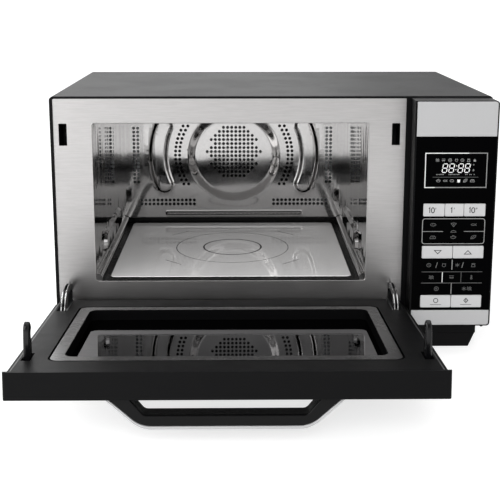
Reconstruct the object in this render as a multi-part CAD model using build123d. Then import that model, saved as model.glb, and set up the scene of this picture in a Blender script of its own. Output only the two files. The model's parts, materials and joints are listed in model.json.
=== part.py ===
from build123d import *
import os
from math import cos, radians, sin, sqrt

# Combination microwave oven with a drop-down door, which is open at rest.
# Millimetres. X runs to the right, Y to the back and Z up. Everything is laid out from the
# middle of the cabinet (X), the front face of the oven frame (Y) and the surface that the
# oven stands on (Z). At the end it is shifted to the middle of its footprint.
# The door's pieces are drawn in the closed door and then swung open about the hinge.

# Sheet metal and clearances
sheet = 1.0              # cabinet, frame and base sheet
cavitySheet = 0.8        # polished cavity sheet
fitGap = 0.2             # pieces that lie beside each other
runningGap = 0.05        # radial, pins and shafts in their bores
keyGap = 0.3             # keys, window and glass in their openings
screwHoleGap = 0.2       # radial, screw shanks in their holes

# Across the front
leftMargin = 47.8        # cabinet side to cavity side, on the left
cavityWidth = 322.0
compartmentWidth = 143.2  # cavity side to cabinet side, on the right
panelWidth = 95.0
panelGap = 2.2           # between the door and the control panel
doorInset = 0.2          # the door's left side from the cabinet's side

# Heights
footHeight = 18.0
frameRise = 20.0         # base plate to the lower edge of the front frame
sillRise = 46.3          # front frame below the oven opening
openingHeight = 190.8
headHeight = 28.6        # front frame above the oven opening
topLip = 2.3             # cabinet lip above the front frame

# Depths
cavityDepth = 293.3
rearSpace = 21.7         # back wall of the cavity to the rear edge of the cabinet
coverDepth = 50.0        # rear cover over the convection motor
doorStandoff = 3.0       # closed door to the front frame
doorThickness = 27.0

# Cabinet
cornerRadius = 5.0
frontLip = 3.0
rearLip = 9.0
baseInset = 8.5
ledgeRise = 9.0          # base pan to the ledge beside the cabinet side
ledgeUpstand = 18.0
footWidth = 84.0
footDepth = 20.0
footTaper = 7.5
rearFootInset = 10.0
screwRadius = 1.5
screwHeadRadius = 3.4
screwHeadHeight = 2.0
screwLength = 4.0

# Front frame
latchSlotWidth = 9.5
latchSlotBelow = 7.5     # below and above the hook's pivot
latchSlotAbove = 18.4
hingeSlotWidth = 5.9
hingeSlotBelow = 7.8     # below and above the hinge axis
hingeSlotAbove = 31.8

# Hinge
hingeReach = 30.6        # from the cavity side to the hinge, either side
hingeDrop = 34.5         # below the sill
hingeForward = 17.84     # in front of the frame
openAngle = 85.9
hingePinRadius = 3.0
hingePinHalf = 5.8
armSheet = 1.2
lugThickness = 1.9
lugHalfHeight = 6.0
lugGap = 0.4             # beside the lug, to each arm plate
armInner = 29.0
armOuter = 35.9
stopRadius = 39.0
pocketHalf = 6.0

# Latch hooks
hookReach = 32.4         # from the cavity side to the hook, either side
hookDrop = 19.1          # pivot below the head of the opening
hookPivotDepth = 10.0    # pivot behind the door's inner face
hookLength = 35.0        # from the door's inner face to the nose
hookThickness = 7.0
hookPinRadius = 2.0
hookLift = 7.0
hookSlotGap = 1.1

# Cavity fittings
sillStep = 4.3           # sill to the ledge under the plate
ceramicThickness = 4.8
plateMargin = 14.6
plateFrontMargin = 18.0
plateBackMargin = 9.3
plateCornerRadius = 6.0
wallFootRise = 7.1       # sill to the lower edge of the back wall
beadRadius = 2.0
wellDepth = 20.0
wellHalfWidth = 130.0
wellHalfDepth = 115.0
ridgeLength = 162.0
ridgeHeight = 26.0
ridgeProud = 4.0

# Back wall pressings and perforations
dishShift = 2.1
dishRise = 100.9         # disc centre above the sill
dishInner = 56.3
dishOuter = 68.5
dishProud = 5.0
holeRadius = 1.65
holePitch = 6.0
crescentRadius = 111.3
crescentWidth = 28.5
crescentHalfAngle = 23.0
crescentProud = 4.0
arcHoleRadii = (80.0, 86.0)

# Door
doorWall = 3.5
slabThickness = 6.0
glassThickness = 4.0
glassSideMargin = 14.0
glassBottomMargin = 12.0
glassTopMargin = 42.0
chokeOverlap = 10.0      # choke ring past the sides of the oven opening
chokeTallOver = 6.2      # choke ring over the height of the oven opening
chokeRimSide = 14.25
chokeRimEnd = 14.5
chokeBottomMargin = 35.1
chokeShift = -1.25
recessDepth = 12.0
windowThickness = 3.0
chokeGroove = 1.2
borderThickness = 6.0
borderChamfer = 4.0

# Handle
handleShift = -2.2
handleRootHalf = 117.5
handleTopHalf = 80.2
handleProud = 33.0
handleGapRootHalf = 93.5
handleGapTopHalf = 77.0
handleGapDepth = 19.0
handleHeight = 20.0
handleTopMargin = 12.0
handleTrimDepth = 3.0
handleBend = 28.0

# Control panel
panelWall = 2.5
overlayThickness = 1.5
rimLeft = 2.0
rimRight = 1.5
rimTop = 0.8
rimBottom = 1.2
topTrimHeight = 39.9
bottomTrimHeight = 18.2
panelFlangeWidth = 5.5
keyMargin = 12.4
keyFieldWidth = 71.4
keyProud = 0.8
keyTravel = 0.8
keyDivide = 0.5
keyHeight = 14.7
displayDrop = 59.3
displayHeight = 41.0
timeRowDrop = 118.7
arrowRowDrop = 168.8
stopRowDrop = 228.3
boardDepth = 11.0        # panel face to the key board
boardThickness = 1.6

# Microwave system
guideHalfWidth = 42.0
guideHeight = 23.0
magnetronReach = 92.0
antennaPortRadius = 14.0
stirrerShaftRadius = 4.0
stirrerRadius = 70.0
stirrerMotorRadius = 24.0
stirrerMotorHeight = 15.8

# Convection system
housingHalfWidth = 118.0
housingHalfHeight = 86.0
housingDepth = 35.9
coverHalfWidth = 130.0
coverHalfHeight = 98.0
coverFlange = 8.0
heaterRing = 76.0
heaterTube = 3.5
convectionFanRadius = 60.0
convectionShaftRadius = 3.0

# Cooling
coolingReach = 62.0
coolingRise = 120.0
coolingHalf = 52.0
coolingBore = 49.5
coolingFanRadius = 46.0
coolingShaftRadius = 2.5

# Grill and lamp
grillHalfLength = 122.0
grillHalfDepth = 60.0
grillHeight = 24.0
grillSetback = 145.0
quartzRadius = 5.5
quartzSpacing = 22.0
lampHalfLength = 30.0
lampHalfDepth = 18.0
lampSetback = 42.0

# Cord gland
glandReach = 45.0
glandRise = 32.0
glandBoreRadius = 3.6
glandNeckRadius = 6.8
glandFlangeRadius = 10.0

# Places that follow from the sizes
cabinetWidth = leftMargin + cavityWidth + compartmentWidth
cabinetRight = cabinetWidth / 2
cabinetLeft = -cabinetRight
cavityLeft = cabinetLeft + leftMargin
cavityRight = cavityLeft + cavityWidth
cavityX = (cavityLeft + cavityRight) / 2
panelLeft = cabinetRight - panelWidth
doorLeft = cabinetLeft + doorInset
doorRight = panelLeft - panelGap
doorX = (doorLeft + doorRight) / 2
baseTop = footHeight + sheet
baseHalf = cabinetRight - baseInset
ledgeTop = footHeight + ledgeRise
frameBottom = footHeight + frameRise
sill = frameBottom + sillRise
head = sill + openingHeight
frameTop = head + headHeight
cabinetTop = frameTop + topLip
wrapperDepth = cavityDepth + rearSpace
panelBack = wrapperDepth - 2 * sheet      # front face of the rear panel
innerFace = -doorStandoff
outerFace = innerFace - doorThickness
hingeY = -hingeForward
hingeZ = sill - hingeDrop
hingePlaces = [doorX - cavityWidth / 2 - hingeReach, doorX + cavityWidth / 2 + hingeReach]
hookY = innerFace - hookPivotDepth
hookZ = head - hookDrop
hookPlaces = [doorX - cavityWidth / 2 - hookReach, doorX + cavityWidth / 2 + hookReach]
doorBottom = frameBottom + 0.4
chokeWidth = cavityWidth + 2 * chokeOverlap
chokeHeight = openingHeight + chokeTallOver
recessWidth = chokeWidth - 2 * chokeRimSide
recessHeight = chokeHeight - 2 * chokeRimEnd
doorTop = frameTop + 0.3
floorLedge = sill - sillStep
wallFoot = sill + wallFootRise
plateLeft = cavityLeft + plateMargin
plateRight = cavityRight - plateMargin
plateFront = plateFrontMargin
plateBack = cavityDepth - plateBackMargin
plateY = (plateFront + plateBack) / 2
wellBottom = floorLedge - wellDepth
guideTop = wellBottom - cavitySheet
guideBottom = guideTop - guideHeight
dishX = cavityX + dishShift
dishZ = sill + dishRise
cavityBack = cavityDepth + cavitySheet
ceiling = head + cavitySheet
magnetronX = cavityRight + magnetronReach
coolingX = cabinetRight - coolingReach
coolingZ = sill + coolingRise
lampX = cavityRight - plateMargin - lampHalfLength - 6
glandX = cabinetRight - glandReach
glandZ = footHeight + glandRise

pieces = {}


def add(name, *shapes):
    solids = pieces.setdefault(name, [])
    for shape in shapes:
        solids.extend(shape.solids())


# Sketch and solid helpers: a sketch is drawn in the two axes that its solid isn't drawn along

def rect(a0, a1, b0, b1, radius=0.0):
    size = (a1 - a0, b1 - b0)
    shape = RectangleRounded(*size, radius) if radius > 0 else Rectangle(*size)
    return Pos((a0 + a1) / 2, (b0 + b1) / 2) * shape


def disc(a, b, radius):
    return Pos(a, b) * Circle(radius)


def along_x(sketch, x0, x1):
    plane = Plane(origin=(x0, 0, 0), x_dir=(0, 1, 0), z_dir=(1, 0, 0))
    return extrude(plane * sketch, x1 - x0, dir=(1, 0, 0))


def along_y(sketch, y0, y1):
    plane = Plane(origin=(0, y1, 0), x_dir=(1, 0, 0), z_dir=(0, -1, 0))
    return extrude(plane * sketch, y1 - y0, dir=(0, -1, 0))


def along_z(sketch, z0, z1):
    return extrude(Pos(0, 0, z0) * sketch, z1 - z0, dir=(0, 0, 1))


def block(x0, x1, y0, y1, z0, z1):
    return along_z(rect(x0, x1, y0, y1), z0, z1)


def sector(a, b, inner, outer, start, end):
    far = CenterArc((a, b), outer, start, end - start)
    near = CenterArc((a, b), inner, start, end - start)
    ends = [Line(far @ 0, near @ 0).edge(), Line(far @ 1, near @ 1).edge()]
    return make_face([far.edge(), near.edge(), *ends])


def pressed_y(foot, crown, wall, proud):
    # A pressing towards the front: the pad that is added and the hollow behind it
    plane = Plane(origin=(0, wall, 0), x_dir=(1, 0, 0), z_dir=(0, -1, 0))
    pad = loft([(plane * foot).face(), (plane.offset(proud) * crown).face()])
    return pad, Pos(0, cavitySheet, 0) * pad


def screw(x, z, face, toward, radius=screwRadius, length=screwLength):
    # A pan head on the face and a shank that runs through it
    head_end = face - toward * screwHeadHeight
    tip = face + toward * length
    head = along_y(disc(x, z, screwHeadRadius), min(face, head_end), max(face, head_end))
    return head + along_y(disc(x, z, radius), min(face, tip), max(face, tip))


def swing_open(shape):
    return shape.rotate(Axis((0, hingeY, hingeZ), (1, 0, 0)), openAngle)


# Casing

def casing_outline(inset, bottom):
    outline = rect(cabinetLeft + inset, cabinetRight - inset, bottom, cabinetTop - inset)
    return fillet(outline.vertices().group_by(Axis.Y)[-1], cornerRadius - inset)


def casing_screw_places():
    side = cabinetRight - 0.5 * (rearLip + sheet)
    top = cabinetTop - 0.5 * (rearLip + sheet)
    low = ledgeTop + 35
    high = cabinetTop - 50
    return [(-side, low), (-side, high), (side, low), (side, high),
            (-0.6 * cabinetRight, top), (0, top), (0.6 * cabinetRight, top)]


def cover_screw_places():
    side = coverHalfWidth + coverFlange / 2
    top = coverHalfHeight + coverFlange / 2
    places = [(x, z) for x in (-side, side) for z in (-0.6 * top, 0.6 * top)]
    places += [(0, -top), (0, top)]
    return [(cavityX + x, dishZ + z) for x, z in places]


def make_outer_cabinet():
    bottom = ledgeTop - sheet
    outline = casing_outline(0, bottom)
    window = rect(cabinetLeft + frontLip, cabinetRight - frontLip, bottom - 1, cabinetTop - topLip)
    rear_window = rect(cabinetLeft + rearLip, cabinetRight - rearLip, bottom - 1, cabinetTop - rearLip)
    shell = along_y(outline - casing_outline(sheet, bottom - 1), 0, wrapperDepth)
    shell += along_y(outline - window, 0, sheet)
    shell += along_y(outline - rear_window, wrapperDepth - sheet, wrapperDepth)
    for x, z in casing_screw_places():
        shell -= along_y(disc(x, z, screwRadius + screwHoleGap), wrapperDepth - 2 * sheet, wrapperDepth + 1)
    add("outer_cabinet", shell)


def make_rear_panel():
    outline = casing_outline(sheet + fitGap, ledgeTop + sheet)
    outline += rect(-baseHalf, baseHalf, footHeight, ledgeTop + sheet + 1)
    hole = (housingHalfWidth + 4, housingHalfHeight + 4)
    outline -= rect(cavityX - hole[0], cavityX + hole[0], dishZ - hole[1], dishZ + hole[1], 34)
    outline -= disc(glandX, glandZ, glandNeckRadius + fitGap)
    for place in casing_screw_places() + cover_screw_places():
        outline -= disc(*place, screwRadius + screwHoleGap)
    pitch = 7.0
    rows = int(coolingFanRadius / pitch)
    for row in range(-rows, rows + 1):
        half = sqrt(coolingFanRadius ** 2 - (row * pitch) ** 2)
        z = coolingZ + row * pitch
        if half > 8:
            outline -= rect(coolingX - half, coolingX - 2, z - 1.6, z + 1.6, 1.5)
            outline -= rect(coolingX + 2, coolingX + half, z - 1.6, z + 1.6, 1.5)
    for row in range(10):
        z = dishZ - 60 + row * 12
        outline -= rect(cavityLeft - 36, cavityLeft - 16, z - 2, z + 2, 1.9)
    add("rear_panel", along_y(outline, panelBack, panelBack + sheet))


def make_base_plate():
    edge = cabinetRight - sheet - fitGap
    profile = rect(-baseHalf, baseHalf, footHeight, baseTop)
    for side in (-1, 1):
        def strip(x0, x1, z0, z1):
            return rect(min(side * x0, side * x1), max(side * x0, side * x1), z0, z1)
        profile += strip(baseHalf - sheet, baseHalf, footHeight, ledgeTop + sheet)
        profile += strip(baseHalf - sheet, edge, ledgeTop, ledgeTop + sheet)
        profile += strip(edge - sheet, edge, ledgeTop, ledgeTop + ledgeUpstand)
    flange = rect(-baseHalf, baseHalf, footHeight, ledgeTop + sheet)
    front = flange + rect(-edge, edge, ledgeTop, frameBottom + 4)
    plate = along_y(profile, 2 * sheet, panelBack)
    plate += along_y(front, sheet, 2 * sheet)
    plate += along_y(flange + rect(-edge, edge, ledgeTop, frameBottom + 2), panelBack - sheet, panelBack)
    for row in range(7):
        x = cavityRight + 25 + row * 14
        plate -= along_z(rect(x - 2, x + 2, panelBack - 98, panelBack - 48, 1.9), footHeight - 1, baseTop + 1)
    add("base_plate", plate)


def make_feet():
    def foot(side, y0):
        points = [(side * (baseHalf - footWidth), footHeight), (side * baseHalf, footHeight),
                  (side * (baseHalf - footTaper), 0), (side * (baseHalf - footWidth + 3), 0)]
        return along_y(Polygon(*points, align=None), y0, y0 + footDepth)
    back = panelBack - rearFootInset - footDepth
    add("front_feet", foot(-1, 2 * sheet), foot(1, 2 * sheet))
    add("rear_feet", foot(-1, back), foot(1, back))


def make_cabinet_screws():
    for x, z in casing_screw_places():
        add("cabinet_screws", screw(x, z, wrapperDepth, -1))
    for x, z in cover_screw_places():
        add("cabinet_screws", screw(x, z, panelBack + 2 * sheet, -1))


def make_rear_motor_cover():
    front = panelBack + sheet
    back = wrapperDepth + coverDepth

    def outline(grow):
        width = coverHalfWidth + grow
        height = coverHalfHeight + grow
        return rect(cavityX - width, cavityX + width, dishZ - height, dishZ + height, 12 + max(grow, -2))
    cover = along_y(outline(0), front, back)
    cover += along_y(outline(coverFlange), front, front + sheet)
    cover -= along_y(outline(-sheet), front - 1, back - sheet)
    for row in range(-5, 6):
        z = dishZ + row * 12
        slots = rect(cavityX - 70, cavityX - 10, z - 2, z + 2, 1.9)
        slots += rect(cavityX + 10, cavityX + 70, z - 2, z + 2, 1.9)
        cover -= along_y(slots, back - 2 * sheet, back + 1)
    for x, z in cover_screw_places():
        cover -= along_y(disc(x, z, screwRadius + screwHoleGap), front - 1, front + 2 * sheet)
    add("rear_motor_cover", cover)


def make_cord_gland():
    front = panelBack + sheet
    gland = along_y(disc(glandX, glandZ, glandFlangeRadius), front, front + 3)
    gland += along_y(disc(glandX, glandZ, glandNeckRadius), panelBack - 4, front)
    gland += along_y(disc(glandX, glandZ, glandNeckRadius - 0.8), front + 3, front + 9)
    gland -= along_y(disc(glandX, glandZ, glandBoreRadius), panelBack - 5, front + 10)
    add("cord_gland", gland)


def make_front_frame():
    edge = cabinetRight - frontLip - fitGap
    outline = rect(-edge, edge, frameBottom, frameTop - fitGap)
    outline -= rect(cavityLeft, cavityRight, sill, head, 3)
    for x in hookPlaces:
        half = latchSlotWidth / 2
        outline -= rect(x - half, x + half, hookZ - latchSlotBelow, hookZ + latchSlotAbove, 1)
    for x in hingePlaces:
        half = hingeSlotWidth / 2
        outline -= rect(x - half, x + half, hingeZ - hingeSlotBelow, hingeZ + hingeSlotAbove, 1)
    outline -= rect(panelLeft + 10, cabinetRight - 10, frameBottom + 25, frameTop - 15, 4)
    add("front_frame", along_y(outline, 0, sheet))


# Cavity

def make_cavity_shell():
    t = cavitySheet
    profile = rect(cavityLeft - t, cavityRight + t, floorLedge, ceiling)
    profile -= rect(cavityLeft, cavityRight, floorLedge - 1, head)
    bead_z = sill + beadRadius + 1.8
    for wall, side in ((cavityLeft, 1), (cavityRight, -1)):
        profile -= disc(wall, bead_z, beadRadius)
        bead = disc(wall, bead_z, beadRadius + t) - disc(wall, bead_z, beadRadius)
        profile += bead & rect(min(wall - side * t, wall + side * 9), max(wall - side * t, wall + side * 9),
                               bead_z - 9, bead_z + 9)
    shell = along_y(profile, sheet, cavityDepth)
    ridge_y = cavityDepth * 0.53
    ridge_z = sill + 25.7
    for wall, side in ((cavityLeft, 1), (cavityRight, -1)):
        plane = Plane(origin=(wall, 0, 0), x_dir=(0, 1, 0), z_dir=(1, 0, 0))
        inner = Plane(origin=(wall + side * ridgeProud, 0, 0), x_dir=(0, 1, 0), z_dir=(1, 0, 0))
        foot = Pos(ridge_y, ridge_z) * SlotOverall(ridgeLength, ridgeHeight)
        crown = Pos(ridge_y, ridge_z) * SlotOverall(ridgeLength - 6, ridgeHeight - 6)
        pad = loft([(plane * foot).face(), (inner * crown).face()])
        shell = shell + pad - Pos(-side * t, 0, 0) * pad
    shell -= block(cavityX - grillHalfLength + 2, cavityX + grillHalfLength - 2,
                   grillSetback - grillHalfDepth + 2, grillSetback + grillHalfDepth - 2, head - 1, ceiling + 1)
    for column in range(-3, 4):
        for row in range(-1, 2):
            hole = disc(lampX + column * 6, lampSetback + row * 6, 1.7)
            shell -= along_z(hole, head - 1, ceiling + 1)
    add("cavity_shell", shell)


def dish_hole_places():
    # Rows of the perforated disc, from the top, by how many holes each has
    counts = (6, 8, 10, 12, 10, 12, 14, 12, 10, 12, 10, 8, 6)
    places = []
    for row, count in enumerate(counts):
        z = dishZ + 6 + (6 - row) * holePitch
        for column in range(count):
            x = dishX + (column - (count - 1) / 2) * holePitch
            places.append((x, z))
    return places


def wall_hole_places():
    places = []
    for side in (-1, 1):
        for column in range(14):
            for row in range(2):
                places.append((dishX + side * (59 + column * holePitch), sill + 33.2 - row * holePitch))
        for row in range(15):
            z = dishZ + (row - 7) * 5.75
            wall = cavityLeft if side < 0 else cavityRight
            for inset in (16.3, 22.1):
                places.append((wall - side * inset, z))
            rise = (row - 7) * 6.2
            for radius in arcHoleRadii:
                places.append((dishX + side * sqrt(radius ** 2 - rise ** 2), dishZ + rise))
    return places


def punched(outline, places):
    # A flat sketch with round holes, made in one step from its outer edge and the hole edges
    holes = [Pos(x, z) * Circle(holeRadius) for x, z in places]
    face = outline.face()
    return Sketch([Face(face.outer_wire(), [*face.inner_wires(), *(hole.wire() for hole in holes)])])


def make_cavity_back_wall():
    t = cavitySheet
    sheet_outline = rect(cavityLeft - t, cavityRight + t, wallFoot, ceiling)
    sheet_outline -= disc(dishX, dishZ, dishOuter)
    wall = along_y(punched(sheet_outline, wall_hole_places()), cavityDepth, cavityBack)
    top = cavityDepth - dishProud
    bevel = Polygon((dishX + dishInner, top), (dishX + dishOuter, cavityDepth), (dishX + dishOuter, cavityBack),
                    (dishX + dishInner, top + t), align=None)
    ring = revolve(Pos(0, 0, dishZ) * bevel, Axis((dishX, 0, dishZ), (0, 1, 0)))
    middle = along_y(punched(disc(dishX, dishZ, dishInner), dish_hole_places()), top, top + t)
    wall = wall + ring + middle
    for start in (-crescentHalfAngle, 180 - crescentHalfAngle):
        arc = CenterArc((dishX, dishZ), crescentRadius, start, 2 * crescentHalfAngle)
        pad, hollow = pressed_y(SlotArc(arc, crescentWidth), SlotArc(arc, crescentWidth - 6),
                                cavityDepth, crescentProud)
        wall = wall + pad - hollow
    rib_z = sill + 13.4
    foot = rect(dishX - 102, dishX + 102, rib_z - 2.4, rib_z + 2.4, 2.2)
    crown = rect(dishX - 101, dishX + 101, rib_z - 1.4, rib_z + 1.4, 1.2)
    pad, hollow = pressed_y(foot, crown, cavityDepth, 2.0)
    add("cavity_back_wall", wall + pad - hollow)


def make_cavity_floor():
    t = cavitySheet

    def well(grow):
        return rect(cavityX - wellHalfWidth - grow, cavityX + wellHalfWidth + grow,
                    plateY - wellHalfDepth - grow, plateY + wellHalfDepth + grow, 30 + grow)
    ledge = rect(cavityLeft - t, cavityRight + t, sheet, cavityBack) - well(0)
    floor = along_z(ledge, floorLedge - t, floorLedge)
    floor += along_z(well(t) - well(0), guideTop, floorLedge)
    floor += along_z(well(0) - disc(cavityX, plateY, antennaPortRadius), guideTop, wellBottom)
    floor += block(cavityLeft - t, cavityRight + t, cavityDepth, cavityBack, floorLedge, wallFoot - fitGap)
    for x in (cavityLeft - t, cavityRight):
        floor += block(x, x + t, 40, cavityBack, baseTop, floorLedge)
    floor -= block(cavityRight - 1, cavityRight + 2, plateY - guideHalfWidth - fitGap,
                   plateY + guideHalfWidth + fitGap, guideBottom - fitGap, guideTop + fitGap)
    add("cavity_floor", floor)


def make_ceramic_floor_plate():
    outline = rect(plateLeft, plateRight, plateFront, plateBack, plateCornerRadius)
    plate = along_z(outline, floorLedge, floorLedge + ceramicThickness)
    add("ceramic_floor_plate", fillet(plate.edges().group_by(Axis.Z)[-1], 0.8))


def make_floor_seal():
    gap = 0.3
    outline = rect(cavityLeft + gap, cavityRight - gap, sheet + fitGap, cavityDepth - gap)
    outline -= rect(plateLeft - gap, plateRight + gap, plateFront - gap, plateBack + gap,
                    plateCornerRadius + gap)
    seal = along_z(outline, floorLedge, sill + 0.1)
    seal += block(cavityLeft + 4, cavityRight - 4, cavityDepth - gap - 2, cavityDepth - gap,
                  sill, wallFoot - fitGap)
    add("floor_seal", seal)


# Grill and lamp

def make_grill():
    t = cavitySheet
    left, right = cavityX - grillHalfLength, cavityX + grillHalfLength
    quartz_z = ceiling + grillHeight * 0.5

    def trough(inset, lift):
        points = [(grillSetback - grillHalfDepth + inset, ceiling + lift),
                  (grillSetback + grillHalfDepth - inset, ceiling + lift),
                  (grillSetback + grillHalfDepth * 0.72 - inset, ceiling + grillHeight - inset),
                  (grillSetback - grillHalfDepth * 0.72 + inset, ceiling + grillHeight - inset)]
        return Polygon(*points, align=None)
    reflector = along_x(trough(0, 0), left, right) - along_x(trough(t, -0.001), left + t, right - t)
    flange = rect(left - 6, right + 6, grillSetback - grillHalfDepth - 6, grillSetback + grillHalfDepth + 6)
    flange -= rect(left + t, right - t, grillSetback - grillHalfDepth + t, grillSetback + grillHalfDepth - t)
    reflector += along_z(flange, ceiling, ceiling + t)
    for y in (grillSetback - quartzSpacing, grillSetback + quartzSpacing):
        reflector -= along_x(disc(y, quartz_z, quartzRadius + 0.3), left - 1, right + 1)
        add("grill_elements", along_x(disc(y, quartz_z, quartzRadius), left, right))
        add("grill_elements", along_x(disc(y, quartz_z, quartzRadius + 2.5), left - 12, left))
        add("grill_elements", along_x(disc(y, quartz_z, quartzRadius + 2.5), right, right + 12))
    add("grill_reflector", reflector)


def make_lamp():
    t = cavitySheet
    x0, x1 = lampX - lampHalfLength, lampX + lampHalfLength
    y0, y1 = lampSetback - lampHalfDepth, lampSetback + lampHalfDepth
    housing = block(x0, x1, y0, y1, ceiling, ceiling + 26)
    housing -= block(x0 + t, x1 - t, y0 + t, y1 - t, ceiling - 1, ceiling + 26 - t)
    bulb_z = ceiling + 13
    bulb = along_x(disc(lampSetback, bulb_z, 10), x0 + 8, x1 - t - 14)
    bulb = fillet(bulb.edges().filter_by(GeomType.CIRCLE), 6)
    socket = along_x(disc(lampSetback, bulb_z, 7.5), x1 - t - 14, x1 - t)
    add("lamp_housing", housing)
    add("oven_lamp", bulb, socket)


# Microwave system under the floor and in the right compartment

def make_microwave_system():
    t = sheet
    end = magnetronX + 42
    y0, y1 = plateY - guideHalfWidth, plateY + guideHalfWidth
    start = cavityX - guideHalfWidth
    guide = block(start, end, y0, y1, guideBottom, guideTop)
    guide -= block(start + t, end - t, y0 + t, y1 - t, guideBottom + t, guideTop - t)
    guide -= along_z(disc(cavityX, plateY, antennaPortRadius), guideTop - 2 * t, guideTop + t)
    guide -= along_z(disc(cavityX, plateY, stirrerShaftRadius + 0.4), guideBottom - t, guideBottom + 2 * t)
    guide -= along_z(disc(magnetronX, plateY, 11), guideTop - 2 * t, guideTop + t)
    add("waveguide", guide)

    top = guideTop + 66
    half_x, half_y = 40.0, 32.0
    end_plate = rect(magnetronX - half_x, magnetronX + half_x, plateY - half_y, plateY + half_y)
    body = along_z(end_plate, guideTop, guideTop + 2)
    body += along_z(end_plate, top - 2, top)
    for side in (-1, 1):
        x = magnetronX + side * (half_x - 1)
        body += block(x - 1, x + 1, plateY - half_y, plateY + half_y, guideTop, top)
    body += along_z(disc(magnetronX, plateY, 19), guideTop, top)
    for fin in range(7):
        z = guideTop + 12 + fin * 7
        body += block(magnetronX - half_x + 1, magnetronX + half_x - 1, plateY - half_y + 5, plateY + half_y - 5,
                      z, z + 0.8)
    body += along_z(disc(magnetronX, plateY, 7), guideTop - guideHeight + 6, guideTop)
    box = block(magnetronX - 22, magnetronX + 22, plateY - half_y, plateY + half_y, top, top + 24)
    add("magnetron", body, box)

    motor_bottom = guideBottom - stirrerMotorHeight
    motor = along_z(disc(cavityX, plateY, stirrerMotorRadius), motor_bottom, guideBottom)
    bore = disc(cavityX, plateY, stirrerShaftRadius + runningGap)
    motor -= along_z(bore, motor_bottom + 6, guideBottom + 1)
    add("antenna_motor", motor)

    blade_z = wellBottom + 8
    stirrer = along_z(disc(cavityX, plateY, stirrerShaftRadius), motor_bottom + 6 + runningGap, blade_z + 3)
    blade = disc(cavityX, plateY, stirrerRadius)
    for turn in range(4):
        slot = Pos(stirrerRadius * 0.62, 0) * SlotOverall(34, 12)
        blade -= Pos(cavityX, plateY) * Rot(0, 0, 90 * turn + 20) * slot
    stirrer += along_z(blade, blade_z, blade_z + 1.5)
    add("stirrer_antenna", stirrer)


def make_inverter_unit():
    x0, x1 = cavityRight + 9, cabinetRight - 12
    y0, y1 = plateY + guideHalfWidth + 14, panelBack - 12
    board = baseTop + 11
    unit = block(x0, x1, y0, y1, board, board + 1.6)
    for x in (x0 + 6, x1 - 6):
        for y in (y0 + 6, y1 - 6):
            unit += along_z(disc(x, y, 3), baseTop, board)
    top = board + 1.6
    core = block(x0 + 8, x0 + 62, y0 + 14, y0 + 64, top, top + 40)
    core -= block(x0 + 18, x0 + 28, y0 + 10, y0 + 70, top + 8, top + 32)
    coil = along_y(disc(x0 + 23 + 20, top + 20, 12), y0 + 6, y0 + 14)
    sink = block(x0 + 72, x1 - 6, y0 + 14, y0 + 74, top, top + 4)
    for fin in range(6):
        x = x0 + 74 + fin * 7
        sink += block(x, x + 1.6, y0 + 14, y0 + 74, top + 4, top + 34)
    caps = [along_z(disc(x0 + 80 + 18 * k, y0 + 86, 6.5), top, top + 26) for k in range(2)]
    add("inverter_unit", unit, core, coil, sink, *caps)


def make_cooling():
    front = panelBack - fitGap - 30
    back = panelBack - fitGap
    outline = rect(coolingX - coolingHalf, coolingX + coolingHalf, coolingZ - coolingHalf, coolingZ + coolingHalf, 6)
    duct = along_y(outline - disc(coolingX, coolingZ, coolingBore), front, back)
    add("cooling_fan_duct", duct)

    motor = along_y(rect(coolingX - 20, coolingX + 20, coolingZ - 22, coolingZ + 22, 3), front - 30, front - 4)
    bar = rect(coolingX - coolingHalf, coolingX + coolingHalf, coolingZ - 5, coolingZ + 5, 4)
    motor += along_y(bar, front - 4, front)
    bore = disc(coolingX, coolingZ, coolingShaftRadius + runningGap)
    motor -= along_y(bore, front - 22, front + 1)
    add("cooling_fan_motor", motor)

    rotor = along_y(disc(coolingX, coolingZ, coolingShaftRadius), front - 22 + runningGap, front + 8)
    rotor += along_y(disc(coolingX, coolingZ, 13), front + 6, front + 22)
    for turn in range(5):
        blade = Pos(coolingFanRadius / 2 + 6, 0, 0) * Rot(38, 0, 0) * Box(coolingFanRadius - 12, 1.6, 20)
        blade = Pos(coolingX, front + 14, coolingZ) * Rot(0, 72 * turn, 0) * blade
        rotor += blade
    add("cooling_fan", rotor)


def make_power_board():
    x0 = cavityRight + cavitySheet + 3
    y0, z0 = 60.0, sill + 66
    board = block(x0, x0 + 1.6, y0, y0 + 105, z0, z0 + 95)
    for y in (y0 + 7, y0 + 98):
        for z in (z0 + 7, z0 + 88):
            board += along_x(disc(y, z, 3), x0 - 3, x0)
    face = x0 + 1.6
    relays = [block(face, face + 16, y0 + 12 + 24 * k, y0 + 31 + 24 * k, z0 + 60, z0 + 76) for k in range(3)]
    filter_coil = along_x(disc(y0 + 28, z0 + 28, 15) - disc(y0 + 28, z0 + 28, 6), face, face + 14)
    capacitor = block(face, face + 22, y0 + 52, y0 + 84, z0 + 14, z0 + 28)
    terminals = block(face, face + 10, y0 + 88, y0 + 98, z0 + 14, z0 + 76)
    add("power_board", board, *relays, filter_coil, capacitor, terminals)


# Convection system behind the back wall

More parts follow.
